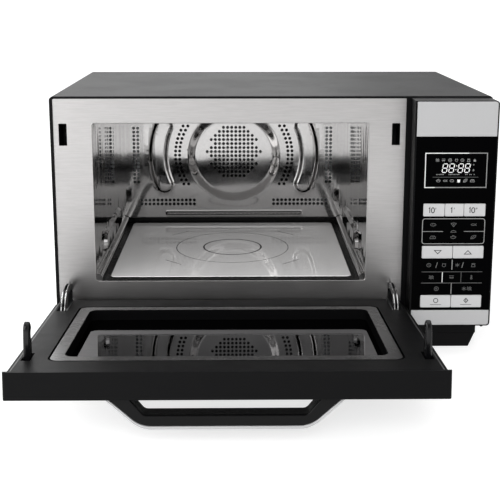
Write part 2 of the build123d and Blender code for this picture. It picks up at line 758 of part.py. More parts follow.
def make_convection_system():
    t = cavitySheet
    back = cavityBack + housingDepth

    def outline(grow):
        width, height = housingHalfWidth + grow, housingHalfHeight + grow
        return rect(cavityX - width, cavityX + width, dishZ - height, dishZ + height, 30 + grow)
    housing = along_y(outline(0), cavityBack, back) - along_y(outline(-t), cavityBack - 1, back - t)
    housing += along_y(outline(4) - outline(-t), cavityBack, cavityBack + t)
    housing -= along_y(disc(dishX, dishZ, 7), back - 2 * t, back + 1)
    for side in (-1, 1):
        terminal = disc(dishX + side * 14, dishZ - heaterRing, heaterTube + 0.4)
        housing -= along_y(terminal, back - 2 * t, back + 1)
    add("convection_housing", housing)

    heater_y = cavityBack + 14
    ring = Pos(dishX, heater_y, dishZ) * Rot(90, 0, 0) * Torus(heaterRing, heaterTube)
    for side in (-1, 1):
        terminal = disc(dishX + side * 14, dishZ - heaterRing, heaterTube)
        ring += along_y(terminal, heater_y, back + 8)
    plate = rect(dishX - 24, dishX + 24, dishZ - heaterRing - 8, dishZ - heaterRing + 8, 3)
    ring += along_y(plate, back, back + 1.5)
    add("ring_heater", ring)

    motor = along_y(disc(dishX, dishZ, 32), back, back + 26)
    motor += along_y(rect(dishX - 42, dishX + 42, dishZ - 10, dishZ + 10, 9), back, back + 1.5)
    motor -= along_y(disc(dishX, dishZ, convectionShaftRadius + runningGap), back - 1, back + 20)
    add("convection_motor", motor)

    fan_back = back - t - 4
    rotor = along_y(disc(dishX, dishZ, convectionShaftRadius), fan_back - 8, back + 20 - runningGap)
    rotor += along_y(disc(dishX, dishZ, 10), fan_back - 8, fan_back)
    rotor += along_y(disc(dishX, dishZ, convectionFanRadius), fan_back - 1, fan_back)
    paddle = block(9, convectionFanRadius - 1, -0.6, 0.6, -0.5, 14)
    for turn in range(12):
        turned = Rot(0, 0, 30 * turn) * paddle
        rotor += Pos(dishX, fan_back - 1, dishZ) * Rot(90, 0, 0) * turned
    add("convection_fan", rotor)


# Latch brackets, switches and hinges

def make_latch_brackets():
    low, high = hookZ - latchSlotBelow - 8, hookZ + latchSlotAbove + 8
    back = hookLength + 12
    for x, toward in zip(hookPlaces, (1, -1)):
        half = latchSlotWidth / 2
        flange = rect(x - 11, x + 11, low, high)
        flange -= rect(x - half, x + half, hookZ - latchSlotBelow, hookZ + latchSlotAbove, 1)
        bracket = along_y(flange, sheet, 2 * sheet)
        for side in (-1, 1):
            cheek = x + side * (half + 3.5)
            bracket += block(cheek - 0.5, cheek + 0.5, 2 * sheet, back, low, high)
        bracket += block(x - half - 4, x + half + 4, back - 1, back, low, high)
        add("latch_brackets", bracket)
        wall = x + toward * (half + 4)
        for z in (hookZ - 10, hookZ + 8):
            x0, x1 = sorted((wall, wall + toward * 6.4))
            body = block(x0, x1, 14, 34, z, z + 10.5)
            button = block(x0 + 2.2, x1 - 2.2, 12, 14, z + 3, z + 7)
            add("interlock_switches", body + button)


def make_hinge_brackets():
    low, high = hingeZ - hingeSlotBelow - 2, hingeZ + hingeSlotAbove + 6
    back = stopRadius - hingeForward + 5
    half = lugThickness / 2
    for x in hingePlaces:
        lug = disc(hingeY, hingeZ, lugHalfHeight)
        lug += rect(hingeY, back + 1, hingeZ - lugHalfHeight, hingeZ + lugHalfHeight)
        lug -= disc(hingeY, hingeZ, hingePinRadius + runningGap)
        bracket = along_x(lug, x - half, x + half)
        bracket += block(x - 11, x + 11, back, back + 1.5, low, high)
        for side in (-1, 1):
            cheek = x + side * 10.5
            bracket += block(cheek - 0.5, cheek + 0.5, sheet, back, low, high)
            edge = x + side * 12.5
            x0, x1 = sorted((cheek, edge))
            bracket += block(x0, x1, sheet, 2 * sheet, frameBottom + 4 + fitGap, high)
        bracket -= block(x - 14, x + 14, 0, 2 * sheet + fitGap, low - 1, frameBottom + 4 + fitGap)
        add("hinge_brackets", bracket)
        add("hinge_pins", along_x(disc(hingeY, hingeZ, hingePinRadius), x - hingePinHalf, x + hingePinHalf))


# Control panel

keyLeft = panelLeft + keyMargin
keyRight = keyLeft + keyFieldWidth
panelBottom = frameBottom
panelTop = frameTop + 0.3
overlayBack = outerFace + overlayThickness
wallBack = overlayBack + panelWall
timeWidth = keyFieldWidth * 0.346
keyRows = [
    (timeRowDrop, [("key_ten_minutes", 0, timeWidth), ("key_one_minute", timeWidth, keyFieldWidth - timeWidth),
                   ("key_ten_seconds", keyFieldWidth - timeWidth, keyFieldWidth)]),
    (arrowRowDrop, [("key_down", 0, keyFieldWidth / 2), ("key_up", keyFieldWidth / 2, keyFieldWidth)]),
    (stopRowDrop, [("key_stop", 0, keyFieldWidth / 2), ("key_start", keyFieldWidth / 2, keyFieldWidth)]),
]


def panel_outline(left, right, bottom, top, radius):
    outline = rect(panelLeft + left, cabinetRight - right, panelBottom + bottom, panelTop - top)
    return fillet(outline.vertices().group_by(Axis.X)[-1], radius)


def row_opening(drop, gap):
    top = panelTop - drop
    return rect(keyLeft - gap, keyRight + gap, top - keyHeight - gap, top + gap, 1.2 + gap)


def display_outline(gap):
    top = panelTop - displayDrop
    return rect(keyLeft - gap, keyRight + gap, top - displayHeight - gap, top + gap, 1)


def board_bosses():
    return [(x, z) for x in (panelLeft + 9, cabinetRight - 8) for z in (panelBottom + 14, panelTop - 48)]


def make_control_panel():
    housing = along_y(panel_outline(0, 0, 0, 0, 4), outerFace, 0)
    housing -= along_y(panel_outline(panelWall, panelWall, panelWall, panelWall, 2), wallBack, 1)
    recess = panel_outline(rimLeft, rimRight, rimBottom, rimTop, 3)
    housing -= along_y(recess, outerFace - 1, overlayBack)
    housing += block(panelLeft - panelFlangeWidth, panelLeft + 1, -sheet, 0, panelBottom, panelTop - 0.3)
    openings = display_outline(keyGap)
    for drop, keys in keyRows:
        openings += row_opening(drop, keyGap)
    housing -= along_y(openings, outerFace - 1, wallBack + 1)
    board_front = outerFace + boardDepth
    for x, z in board_bosses():
        housing += along_y(disc(x, z, 3), wallBack, board_front)
    add("panel_housing", housing)

    fit = 0.1
    face = panel_outline(rimLeft + fit, rimRight + fit, rimBottom + fit, rimTop + fit, 3)
    split_top = panelTop - rimTop - topTrimHeight
    split_bottom = panelBottom + rimBottom + bottomTrimHeight
    window = rect(panelLeft, cabinetRight, split_bottom + fit / 2, split_top - fit / 2)
    overlay = face & window
    for drop, keys in keyRows:
        overlay -= row_opening(drop, keyGap)
    add("panel_overlay", along_y(overlay, outerFace, overlayBack))
    above = face & rect(panelLeft, cabinetRight, split_top + fit / 2, panelTop)
    below = face & rect(panelLeft, cabinetRight, panelBottom, split_bottom - fit / 2)
    add("panel_trims", along_y(above, outerFace, overlayBack), along_y(below, outerFace, overlayBack))

    add("display_module", along_y(display_outline(0), overlayBack + 0.1, board_front))
    board = along_y(rect(panelLeft + 5, cabinetRight - 5, panelBottom + 8, panelTop - 42, 2),
                    board_front, board_front + boardThickness)
    switch_top = board_front - 2
    for drop, keys in keyRows:
        z = panelTop - drop - keyHeight / 2
        for name, x0, x1 in keys:
            x = keyLeft + (x0 + x1) / 2
            board += block(x - 3, x + 3, switch_top + 0.8, board_front, z - 3, z + 3)
            board += along_y(disc(x, z, 1.8), switch_top, switch_top + 1)
            add(name, make_key(x0, x1, drop, switch_top))
    add("key_board", board)


def make_key(x0, x1, drop, switch_top):
    left = keyLeft + x0 + (keyDivide / 2 if x0 > 0 else 0)
    right = keyLeft + x1 - (keyDivide / 2 if x1 < keyFieldWidth else 0)
    top = panelTop - drop
    bottom = top - keyHeight
    front = outerFace - keyProud
    cap = along_y(rect(left, right, bottom, top, 1.2), front, wallBack)
    cap = fillet(cap.edges().group_by(Axis.Y)[0], 0.4)
    cap += along_y(rect(left, right, bottom, top, 1.2), wallBack - 0.2, wallBack + 0.1)
    cap += along_y(rect(left, right, bottom - 1.6, top + 1.6, 1.2), wallBack + 0.1, wallBack + 1.1)
    middle = keyLeft + (x0 + x1) / 2
    stem_end = switch_top - keyTravel - 0.1
    return cap + along_y(disc(middle, bottom + keyHeight / 2, 3), wallBack + 1, stem_end)


# Door, drawn closed

glassLeft = doorLeft + glassSideMargin
glassRight = doorRight - glassSideMargin
glassBottom = doorBottom + glassBottomMargin
glassTop = doorTop - glassTopMargin
chokeX = doorX + chokeShift
chokeBottom = doorBottom + chokeBottomMargin
chokeZ = chokeBottom + chokeHeight / 2
slabBack = outerFace + slabThickness
borderBack = innerFace - borderThickness
windowFront = innerFace - recessDepth
windowBack = windowFront - windowThickness
steelBack = windowBack                     # inner side of the steel frame, towards the oven
steelFront = steelBack - sheet


def choke_outline(grow, radius):
    return rect(chokeX - chokeWidth / 2 - grow, chokeX + chokeWidth / 2 + grow,
                chokeBottom - grow, chokeBottom + chokeHeight + grow, radius)


def recess_outline(grow, radius):
    return rect(chokeX - recessWidth / 2 - grow, chokeX + recessWidth / 2 + grow,
                chokeZ - recessHeight / 2 - grow, chokeZ + recessHeight / 2 + grow, radius)


def door_screw_places():
    heights = (doorBottom + 92, (doorBottom + doorTop) / 2 + 30, doorTop - 17)
    return [(x, z) for x in (doorLeft + 11, doorRight - 11) for z in heights]


def hinge_pocket(x):
    return block(x - pocketHalf, x + pocketHalf, outerFace + 4.5, 0, doorBottom - 1, hingeZ + armOuter + 5)


def make_door_outer_frame():
    outline = rect(doorLeft, doorRight, doorBottom, doorTop, 3)
    inner = rect(doorLeft + doorWall, doorRight - doorWall, doorBottom + doorWall, doorTop - doorWall)
    frame = along_y(outline, outerFace, borderBack)
    frame -= along_y(inner, slabBack, borderBack + 1)
    frame += along_y(outline & rect(doorLeft, doorRight, doorTop - doorWall, doorTop), borderBack, innerFace)
    gap = keyGap
    glass = rect(glassLeft - gap, glassRight + gap, glassBottom - gap, glassTop + gap, 3)
    frame -= along_y(glass, outerFace - 1, outerFace + glassThickness)
    sight = rect(glassLeft + 6, glassRight - 6, glassBottom + 6, glassTop - 6, 3)
    frame -= along_y(sight, outerFace, slabBack + 1)
    for x, z in door_screw_places():
        frame += along_y(disc(x, z, 4.5), slabBack, steelFront)
        frame -= along_y(disc(x, z, screwRadius + screwHoleGap), slabBack - 1, steelFront + 1)
    for x in hingePlaces:
        frame -= hinge_pocket(x)
    add("door_outer_frame", swing_open(frame))


def make_door_glass():
    pane = rect(glassLeft, glassRight, glassBottom, glassTop, 3)
    add("door_front_glass", swing_open(along_y(pane, outerFace, outerFace + glassThickness)))
    window = along_y(recess_outline(3.2, 9), windowBack, windowFront)
    add("inner_window", swing_open(window))


def make_door_steel_frame():
    outline = rect(doorLeft + 6, doorRight - 6, doorBottom + 5, doorTop - 6)
    for x in hingePlaces:
        outline -= rect(x - pocketHalf - 0.5, x + pocketHalf + 0.5, doorBottom, hingeZ + armOuter + 6)
    for x, z in door_screw_places():
        outline -= disc(x, z, screwRadius + screwHoleGap)
    frame = along_y(outline, steelFront, steelBack)
    for x in hookPlaces:
        for side in (-1, 1):
            ear = x + side * (hookThickness / 2 + 1.2)
            frame += along_x(rect(steelBack - 0.1, hookY + 4, hookZ - 5, hookZ + 5), ear - 0.6, ear + 0.6)
        half = hookThickness / 2 + 1.8
        frame += along_x(disc(hookY, hookZ, hookPinRadius), x - half, x + half)
    add("door_steel_frame", swing_open(frame))


def make_choke_cover():
    cover = along_y(choke_outline(0, 10) - recess_outline(0, 8), windowFront, innerFace)
    front = cover.faces().sort_by(Axis.Y)[-1]
    cover = chamfer(front.edges(), 1.0)
    cover += along_y(choke_outline(0, 10) - recess_outline(3.6, 9), windowBack, windowFront)
    add("choke_cover", swing_open(cover))


def make_door_inner_border():
    left, right = doorLeft + doorWall + fitGap, doorRight - doorWall - fitGap
    top = doorTop - doorWall - fitGap
    border = along_y(rect(left, right, doorBottom, top), borderBack + fitGap, innerFace)
    edges = border.edges().filter_by_position(Axis.Y, innerFace - 0.01, innerFace + 0.01)
    kept = [edge for edge in edges if edge.center().Z < top - 1]
    border = chamfer(kept, borderChamfer)
    opening = choke_outline(chokeGroove, 11)
    border -= along_y(opening, borderBack - 1, innerFace + 1)
    border += along_y(choke_outline(chokeGroove + 3, 14) - opening, steelBack, borderBack + fitGap)
    for x in hookPlaces:
        half = hookThickness / 2 + hookSlotGap
        border -= along_y(rect(x - half, x + half, hookZ - 10, hookZ + 14, 1), borderBack - 1, innerFace + 1)
    for x in hingePlaces:
        border -= hinge_pocket(x)
    add("door_inner_border", swing_open(border))


def handle_outline(shift):
    points = [(-handleRootHalf, 0), (-handleTopHalf, -handleProud),
              (handleTopHalf, -handleProud), (handleRootHalf, 0)]
    outline = Polygon(*points, align=None)
    outline = fillet(outline.vertices().group_by(Axis.Y)[0], handleBend)
    return Pos(doorX + handleShift, outerFace + shift) * outline


def make_handle():
    outline = handle_outline(0)
    gap = Polygon((-handleGapRootHalf, 1), (-handleGapTopHalf, -handleGapDepth),
                  (handleGapTopHalf, -handleGapDepth), (handleGapRootHalf, 1), align=None)
    gap = fillet(gap.vertices().group_by(Axis.Y)[0], 7)
    gap = Pos(doorX + handleShift, outerFace) * gap
    low, high = doorTop - handleTopMargin - handleHeight, doorTop - handleTopMargin
    bar = (outline & handle_outline(handleTrimDepth + 0.05)) - gap
    trim = outline - handle_outline(handleTrimDepth)
    add("handle_bar", swing_open(along_z(bar, low, high)))
    add("handle_trim", swing_open(along_z(trim, low, high)))


def make_door_screws():
    for x, z in door_screw_places():
        add("door_screws", swing_open(screw(x, z, steelBack, -1)))


def make_door_hinge_arms():
    band = sector(hingeY, hingeZ, armInner, armOuter, -38.9, 95)
    tab = sector(hingeY, hingeZ, armOuter - 1, stopRadius, -33.9, -27.4)
    bar = rect(hingeY - 7.4, hingeY + 5.8, hingeZ, hingeZ + armOuter + 4.3)
    plate = band + tab + bar + disc(hingeY, hingeZ, 7)
    plate -= disc(hingeY, hingeZ, hingePinRadius + runningGap)
    near = lugThickness / 2 + lugGap
    for x in hingePlaces:
        arm = along_x(plate, x - near - armSheet, x - near) + along_x(plate, x + near, x + near + armSheet)
        arm += block(x - near - armSheet, x + near + armSheet, steelFront - 1.2, steelFront,
                     hingeZ + armOuter - 1.7, hingeZ + armOuter + 22)
        add("door_hinge_arms", swing_open(arm))


def make_latch_hooks():
    reach = hookPivotDepth + hookLength
    for name, x in zip(("latch_hook_left", "latch_hook_right"), hookPlaces):
        arm = Polygon((0, -4.4), (reach - 18, -4.8), (reach - 17, -1.8), (reach - 10, -1.8), (reach - 9, -5.2),
                      (reach - 5, -4.8), (reach, 0.2), (reach, 3.2), (reach - 3.6, 7.2), (reach - 12, 7.8),
                      (9, 7.8), (0, 4.6), align=None)
        nose = [v for v in arm.vertices() if v.X > reach - 6]
        arm = fillet(nose, 1.8)
        profile = arm + disc(0, 0, 4.6)
        profile -= disc(0, 0, hookPinRadius + runningGap)
        profile -= rect(hookPivotDepth + 1.5, hookPivotDepth + 6, 0.5, 2.5, 0.9)
        profile = Pos(hookY, hookZ) * profile
        add(name, swing_open(along_x(profile, x - hookThickness / 2, x + hookThickness / 2)))


make_outer_cabinet()
make_rear_panel()
make_base_plate()
make_feet()
make_cabinet_screws()
make_rear_motor_cover()
make_cord_gland()
make_front_frame()
make_cavity_shell()
make_cavity_back_wall()
make_cavity_floor()
make_ceramic_floor_plate()
make_floor_seal()
make_grill()
make_lamp()
make_microwave_system()
make_inverter_unit()
make_cooling()
make_power_board()
make_convection_system()
make_latch_brackets()
make_hinge_brackets()
make_control_panel()
make_door_outer_frame()
make_door_glass()
make_door_steel_frame()
make_choke_cover()
make_door_inner_border()
make_handle()
make_door_screws()
make_door_hinge_arms()
make_latch_hooks()

# Shift everything to the middle of the footprint and write one file for each piece
whole = Compound([solid for solids in pieces.values() for solid in solids]).bounding_box()
shift = Vector(-(whole.min.X + whole.max.X) / 2, -(whole.min.Y + whole.max.Y) / 2, -whole.min.Z)
os.makedirs("parts", exist_ok=True)
for name, solids in pieces.items():
    export_step(Compound([solid.moved(Location(shift)) for solid in solids]), "parts/" + name + ".step")


def place(label, x, y, z):
    print("place %s %.3f %.3f %.3f" % (label, x + shift.X, y + shift.Y, z + shift.Z))


def swung(y, z):
    # Where a point of the closed door lies when the door is open
    turn = radians(openAngle)
    away, up = y - hingeY, z - hingeZ
    return hingeY + away * cos(turn) - up * sin(turn), hingeZ + away * sin(turn) + up * cos(turn)


print("size %.3f %.3f %.3f" % (whole.size.X, whole.size.Y, whole.size.Z))
place("hinge", doorX, hingeY, hingeZ)
for side, x in zip(("left", "right"), hookPlaces):
    place("hook_" + side, x, *swung(hookY, hookZ))
    place("latch_slot_" + side, x, 0, hookZ + (latchSlotAbove - latchSlotBelow) / 2)
place("convection_fan", dishX, cavityBack + housingDepth, dishZ)
place("cooling_fan", coolingX, panelBack - 30, coolingZ)
place("stirrer", cavityX, plateY, guideBottom)
place("panel_face", keyLeft, outerFace, panelTop)
place("cavity_low", cavityLeft, 0, floorLedge + ceramicThickness)
place("cavity_high", cavityRight, cavityDepth, head)
place("gland", glandX, panelBack + sheet + 9, glandZ)
place("front_foot", baseHalf - footWidth / 2, 2 * sheet + footDepth / 2, 0)
place("rear_foot", baseHalf - footWidth / 2, panelBack - rearFootInset - footDepth / 2, 0)
gap_middle = swung(outerFace - handleGapDepth / 2, doorTop - handleTopMargin - handleHeight / 2)
place("handle_gap", doorX + handleShift, *gap_middle)
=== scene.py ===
import json
import math
import bmesh
import bpy
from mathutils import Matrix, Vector
from mathutils.geometry import delaunay_2d_cdt


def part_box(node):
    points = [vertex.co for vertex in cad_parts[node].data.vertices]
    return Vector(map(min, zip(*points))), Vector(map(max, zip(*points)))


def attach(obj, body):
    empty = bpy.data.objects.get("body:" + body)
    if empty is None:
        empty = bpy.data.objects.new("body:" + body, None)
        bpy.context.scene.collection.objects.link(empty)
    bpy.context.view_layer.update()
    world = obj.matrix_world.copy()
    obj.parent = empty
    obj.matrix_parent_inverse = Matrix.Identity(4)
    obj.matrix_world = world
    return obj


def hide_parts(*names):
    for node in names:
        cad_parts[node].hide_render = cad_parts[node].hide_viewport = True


# Looks of a combination microwave oven with its door open. Sizes are in millimetres from the middle
# of the cabinet (x), the front face of the oven frame (y) and the worktop (z), and become metres in at().

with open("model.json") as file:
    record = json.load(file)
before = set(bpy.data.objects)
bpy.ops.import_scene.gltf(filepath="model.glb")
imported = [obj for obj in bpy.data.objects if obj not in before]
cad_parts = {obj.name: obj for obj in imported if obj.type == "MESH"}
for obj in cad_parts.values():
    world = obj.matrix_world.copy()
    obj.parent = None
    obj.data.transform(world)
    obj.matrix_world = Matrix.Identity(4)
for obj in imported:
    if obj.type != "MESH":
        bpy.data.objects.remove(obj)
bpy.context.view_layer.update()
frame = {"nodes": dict(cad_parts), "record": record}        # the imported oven: its bodies, nodes, joints and record
nodes = frame["nodes"]
scene = bpy.context.scene
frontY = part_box("front_frame")[0].y

doorSwing = {"pivotY": -17.84, "pivotZ": 49.8, "degrees": 85.9}
weldGap = 2e-6           # metres between corners of CAD triangles that are one corner
levelGap = 1e-5          # metres that corners of one flat face may differ in height
sheetGap = 1e-4          # millimetres between points of a sheet that are one point
keyNames = ("key_ten_minutes", "key_one_minute", "key_ten_seconds", "key_down", "key_up", "key_stop",
            "key_start")


def at(x, y, z):
    return Vector((x / 1000, frontY + y / 1000, z / 1000))


def onDoor(x, y, z):
    # a point given in the closed door, where it lies with the door open
    turn = math.radians(doorSwing["degrees"])
    away, up = y - doorSwing["pivotY"], z - doorSwing["pivotZ"]
    return at(x, doorSwing["pivotY"] + away * math.cos(turn) - up * math.sin(turn),
              doorSwing["pivotZ"] + away * math.sin(turn) + up * math.cos(turn))


# Small helpers for node trees

def setInputs(tree, node, values):
    for label, value in values.items():
        if isinstance(value, bpy.types.NodeSocket):
            tree.links.new(value, node.inputs[label])
        else:
            node.inputs[label].default_value = value


def put(tree, kind, values, **settings):
    # a node with its settings, whose inputs are set to values or joined to sockets
    node = tree.nodes.new(kind)
    for key, setting in settings.items():
        setattr(node, key, setting)
    setInputs(tree, node, values)
    return node


def calc(tree, operation, first, second):
    return put(tree, "ShaderNodeMath", {0: first, 1: second}, operation=operation).outputs[0]


def noise(tree, place, scale, detail, roughness=0.5):
    values = {"Vector": place, "Scale": scale, "Detail": detail, "Roughness": roughness}
    return put(tree, "ShaderNodeTexNoise", values).outputs["Fac"]


def remap(tree, value, span, to=(0, 1)):
    values = {"Value": value, "From Min": span[0], "From Max": span[1], "To Min": to[0], "To Max": to[1]}
    return put(tree, "ShaderNodeMapRange", values, interpolation_type="SMOOTHSTEP").outputs["Result"]


def objectPlace(tree):
    return put(tree, "ShaderNodeTexCoord", {}).outputs["Object"]


def ray(tree, kind):
    return put(tree, "ShaderNodeLightPath", {}).outputs["Is " + kind + " Ray"]


def seenRays(tree):
    # 1 for rays that the camera, gloss or glass sends, and 0 for those that only carry light
    seen = calc(tree, "MAXIMUM", ray(tree, "Camera"), ray(tree, "Glossy"))
    return calc(tree, "MAXIMUM", seen, ray(tree, "Transmission"))


def newPaint(name):
    material = bpy.data.materials.new(name)
    material.use_nodes = True
    return material, material.node_tree, material.node_tree.nodes["Principled BSDF"]


# Camera, lights and floor

white = (1, 1, 1, 1)
cameraView = {"lens": 69.16, "shiftUp": -0.16, "place": (-36.7, -1102.6, 432.7), "down": 10.947,
              "turn": -0.613, "nearest": 0.05}
lamps = [
    {"name": "windowLeft", "place": (-1300, -1350, 850), "aim": (-120, -100, 120), "size": 1.4, "watts": 22},
    {"name": "overhead", "place": (100, -300, 1900), "aim": (0, 0, 100), "size": 1.8, "watts": 12},
    {"name": "fillRight", "place": (1500, -1200, 900), "aim": (60, 0, 120), "size": 1.4, "watts": 6},
    {"name": "behind", "place": (-300, 1900, 1300), "aim": (0, 150, 120), "size": 1.4, "watts": 10},
    {"name": "front", "place": (-60, -1900, 1150), "aim": (-40, 60, 110), "size": 0.9, "watts": 22,
     "shows": False},
    {"name": "edgeLeft", "place": (-1000, 420, 420), "aim": (-180, -150, 50), "size": 0.5, "watts": 9},
]
studio = {"worldSeen": 1.0, "worldLight": 0.36, "darkFront": 0.72, "darkAbove": (0.02, 0.3),
          "darkAhead": (-0.35, 0.35)}
# standShade and rightShade darken the floor's glow only in gloss: painted shade, with a painted shadow of a camera
# stand in front of the oven
floorLook = {"reach": 40.0, "colour": (0.46, 0.46, 0.46, 1), "rough": 0.7, "specular": 0.2,
             "lift": (0.72, 0.92), "liftSpan": (0.5, 2.5), "standShade": 0.6, "standShadowLeft": (-0.56, -0.36),
             "standShadowRight": (-0.05, 0.22), "standShadowFront": (-1.7, -1.2), "rightShade": 0.45,
             "rightSpan": (-0.1, 0.6)}


def makeCamera(look):
    data = bpy.data.cameras.new("photoCamera")
    data.lens = look["lens"]
    data.shift_y = look["shiftUp"]
    data.clip_start = look["nearest"]
    camera = bpy.data.objects.new("photoCamera", data)
    camera.location = at(*look["place"])
    camera.rotation_euler = (math.radians(90 - look["down"]), 0, math.radians(look["turn"]))
    scene.collection.objects.link(camera)
    scene.camera = camera
    scene.view_settings.view_transform = "Standard"


def makeLamp(look):
    data = bpy.data.lights.new(look["name"], "AREA")
    data.shape = "SQUARE"
    data.size = look["size"]
    data.energy = look["watts"]
    light = bpy.data.objects.new(look["name"], data)
    light.location = at(*look["place"])
    light.rotation_euler = (at(*look["aim"]) - light.location).to_track_quat("-Z", "Y").to_euler()
    light.visible_camera = False
    light.visible_glossy = look.get("shows", True)
    scene.collection.objects.link(light)


def makeWorld(look):
    world = bpy.data.worlds.new("studio")
    scene.world = world
    world.use_nodes = True
    tree = world.node_tree
    strength = put(tree, "ShaderNodeMapRange", {"Value": seenRays(tree), "To Min": look["worldLight"],
                                                "To Max": look["worldSeen"]}).outputs["Result"]
    # gloss sees the room above the camera darker, as in a studio with a white table and a dark room in front
    sky = put(tree, "ShaderNodeTexCoord", {}).outputs["Generated"]
    towards = put(tree, "ShaderNodeSeparateXYZ", {0: sky}).outputs
    dark = calc(tree, "MULTIPLY", remap(tree, towards["Z"], look["darkAbove"]),
                remap(tree, towards["Y"], look["darkAhead"], (look["darkFront"], 0)))
    dark = calc(tree, "MULTIPLY", dark, ray(tree, "Glossy"))
    setInputs(tree, tree.nodes["Background"],
              {"Color": white, "Strength": calc(tree, "SUBTRACT", strength, dark)})


def makeWorktop(look):
    reach = look["reach"]
    mesh = bpy.data.meshes.new("worktop")
    mesh.from_pydata([(-reach, -reach, 0), (reach, -reach, 0), (reach, reach, 0), (-reach, reach, 0)], [],
                     [(0, 1, 2, 3)])
    worktop = bpy.data.objects.new("worktop", mesh)
    scene.collection.objects.link(worktop)
    paint, tree, shader = newPaint("worktopWhite")
    place = objectPlace(tree)
    spot = put(tree, "ShaderNodeSeparateXYZ", {0: place}).outputs
    away = put(tree, "ShaderNodeVectorMath", {0: place}, operation="LENGTH").outputs["Value"]
    # gloss sees painted shade on the floor: a little darker at the right, and a painted shadow where a camera stand
    # would be in front of the oven
    stand = calc(tree, "MULTIPLY", remap(tree, spot["X"], look["standShadowLeft"]),
                 remap(tree, spot["X"], look["standShadowRight"], (1, 0)))
    stand = calc(tree, "MULTIPLY", stand, remap(tree, spot["Y"], look["standShadowFront"], (look["standShade"], 0)))
    shade = calc(tree, "MAXIMUM", stand, remap(tree, spot["X"], look["rightSpan"], (0, look["rightShade"])))
    shade = calc(tree, "MULTIPLY", shade, ray(tree, "Glossy"))
    glow = calc(tree, "MULTIPLY", remap(tree, away, look["liftSpan"], look["lift"]), seenRays(tree))
    glow = calc(tree, "MULTIPLY", glow, calc(tree, "SUBTRACT", 1.0, shade))
    setInputs(tree, shader, {"Base Color": look["colour"], "Roughness": look["rough"],
                             "Specular IOR Level": look["specular"], "Emission Color": white,
                             "Emission Strength": glow})
    mesh.materials.append(paint)


makeCamera(cameraView)
for lamp in lamps:
    makeLamp(lamp)
makeWorld(studio)
makeWorktop(floorLook)
print("camera, lamps and worktop are set")


# Effects that several finishes share

effectShape = {"speckFiner": 2.7, "speckHeight": 0.35, "speckSpan": (0.42, 0.68), "broadShare": 0.4,
               "streakSpan": (0.75, 1.25), "markSpan": (0.35, 0.7), "markShare": 0.7, "reliefDeep": 0.0002}


def newEffect(name, label, value, *results):
    group = bpy.data.node_groups.new(name, "ShaderNodeTree")
    group.interface.new_socket("Vector", in_out="INPUT", socket_type="NodeSocketVector")
    size = group.interface.new_socket(label, in_out="INPUT", socket_type="NodeSocketFloat")
    size.default_value = value
    for result in results:
        group.interface.new_socket(result, in_out="OUTPUT", socket_type="NodeSocketFloat")
    given = put(group, "NodeGroupInput", {}).outputs
    return group, given["Vector"], given[label], put(group, "NodeGroupOutput", {})


def makeGrain(look):
    # the orange peel and specks of paint or moulded plastic
    group, place, size, result = newEffect("paintGrain", "Size", 1500.0, "Height", "Speck")
    peel = noise(group, place, size, 2.0)
    speck = noise(group, place, calc(group, "MULTIPLY", size, look["speckFiner"]), 1.0)
    height = calc(group, "ADD", peel, calc(group, "MULTIPLY", speck, look["speckHeight"]))
    setInputs(group, result, {"Height": height, "Speck": remap(group, speck, look["speckSpan"])})
    return group


def makeBrush(look):
    # fine lines that rolling or brushing leaves along one direction of sheet metal
    group, place, across, result = newEffect("brushedLines", "Across", 900.0, "Height", "Streak")
    lines = noise(group, place, across, 3.0, 0.65)
    broad = noise(group, place, calc(group, "MULTIPLY", across, look["broadShare"]), 1.0)
    streak = remap(group, calc(group, "ADD", lines, broad), look["streakSpan"])
    setInputs(group, result, {"Height": lines, "Streak": streak})
    return group


def makeHandling(look):
    # faint uneven gloss of surfaces that are wiped and handled
    group, place, size, result = newEffect("handledGloss", "Size", 14.0, "Mark")
    setInputs(group, result, {"Mark": remap(group, noise(group, place, size, 4.0, 0.6), look["markSpan"])})
    return group


grainEffect, brushEffect = makeGrain(effectShape), makeBrush(effectShape)
handlingEffect = makeHandling(effectShape)


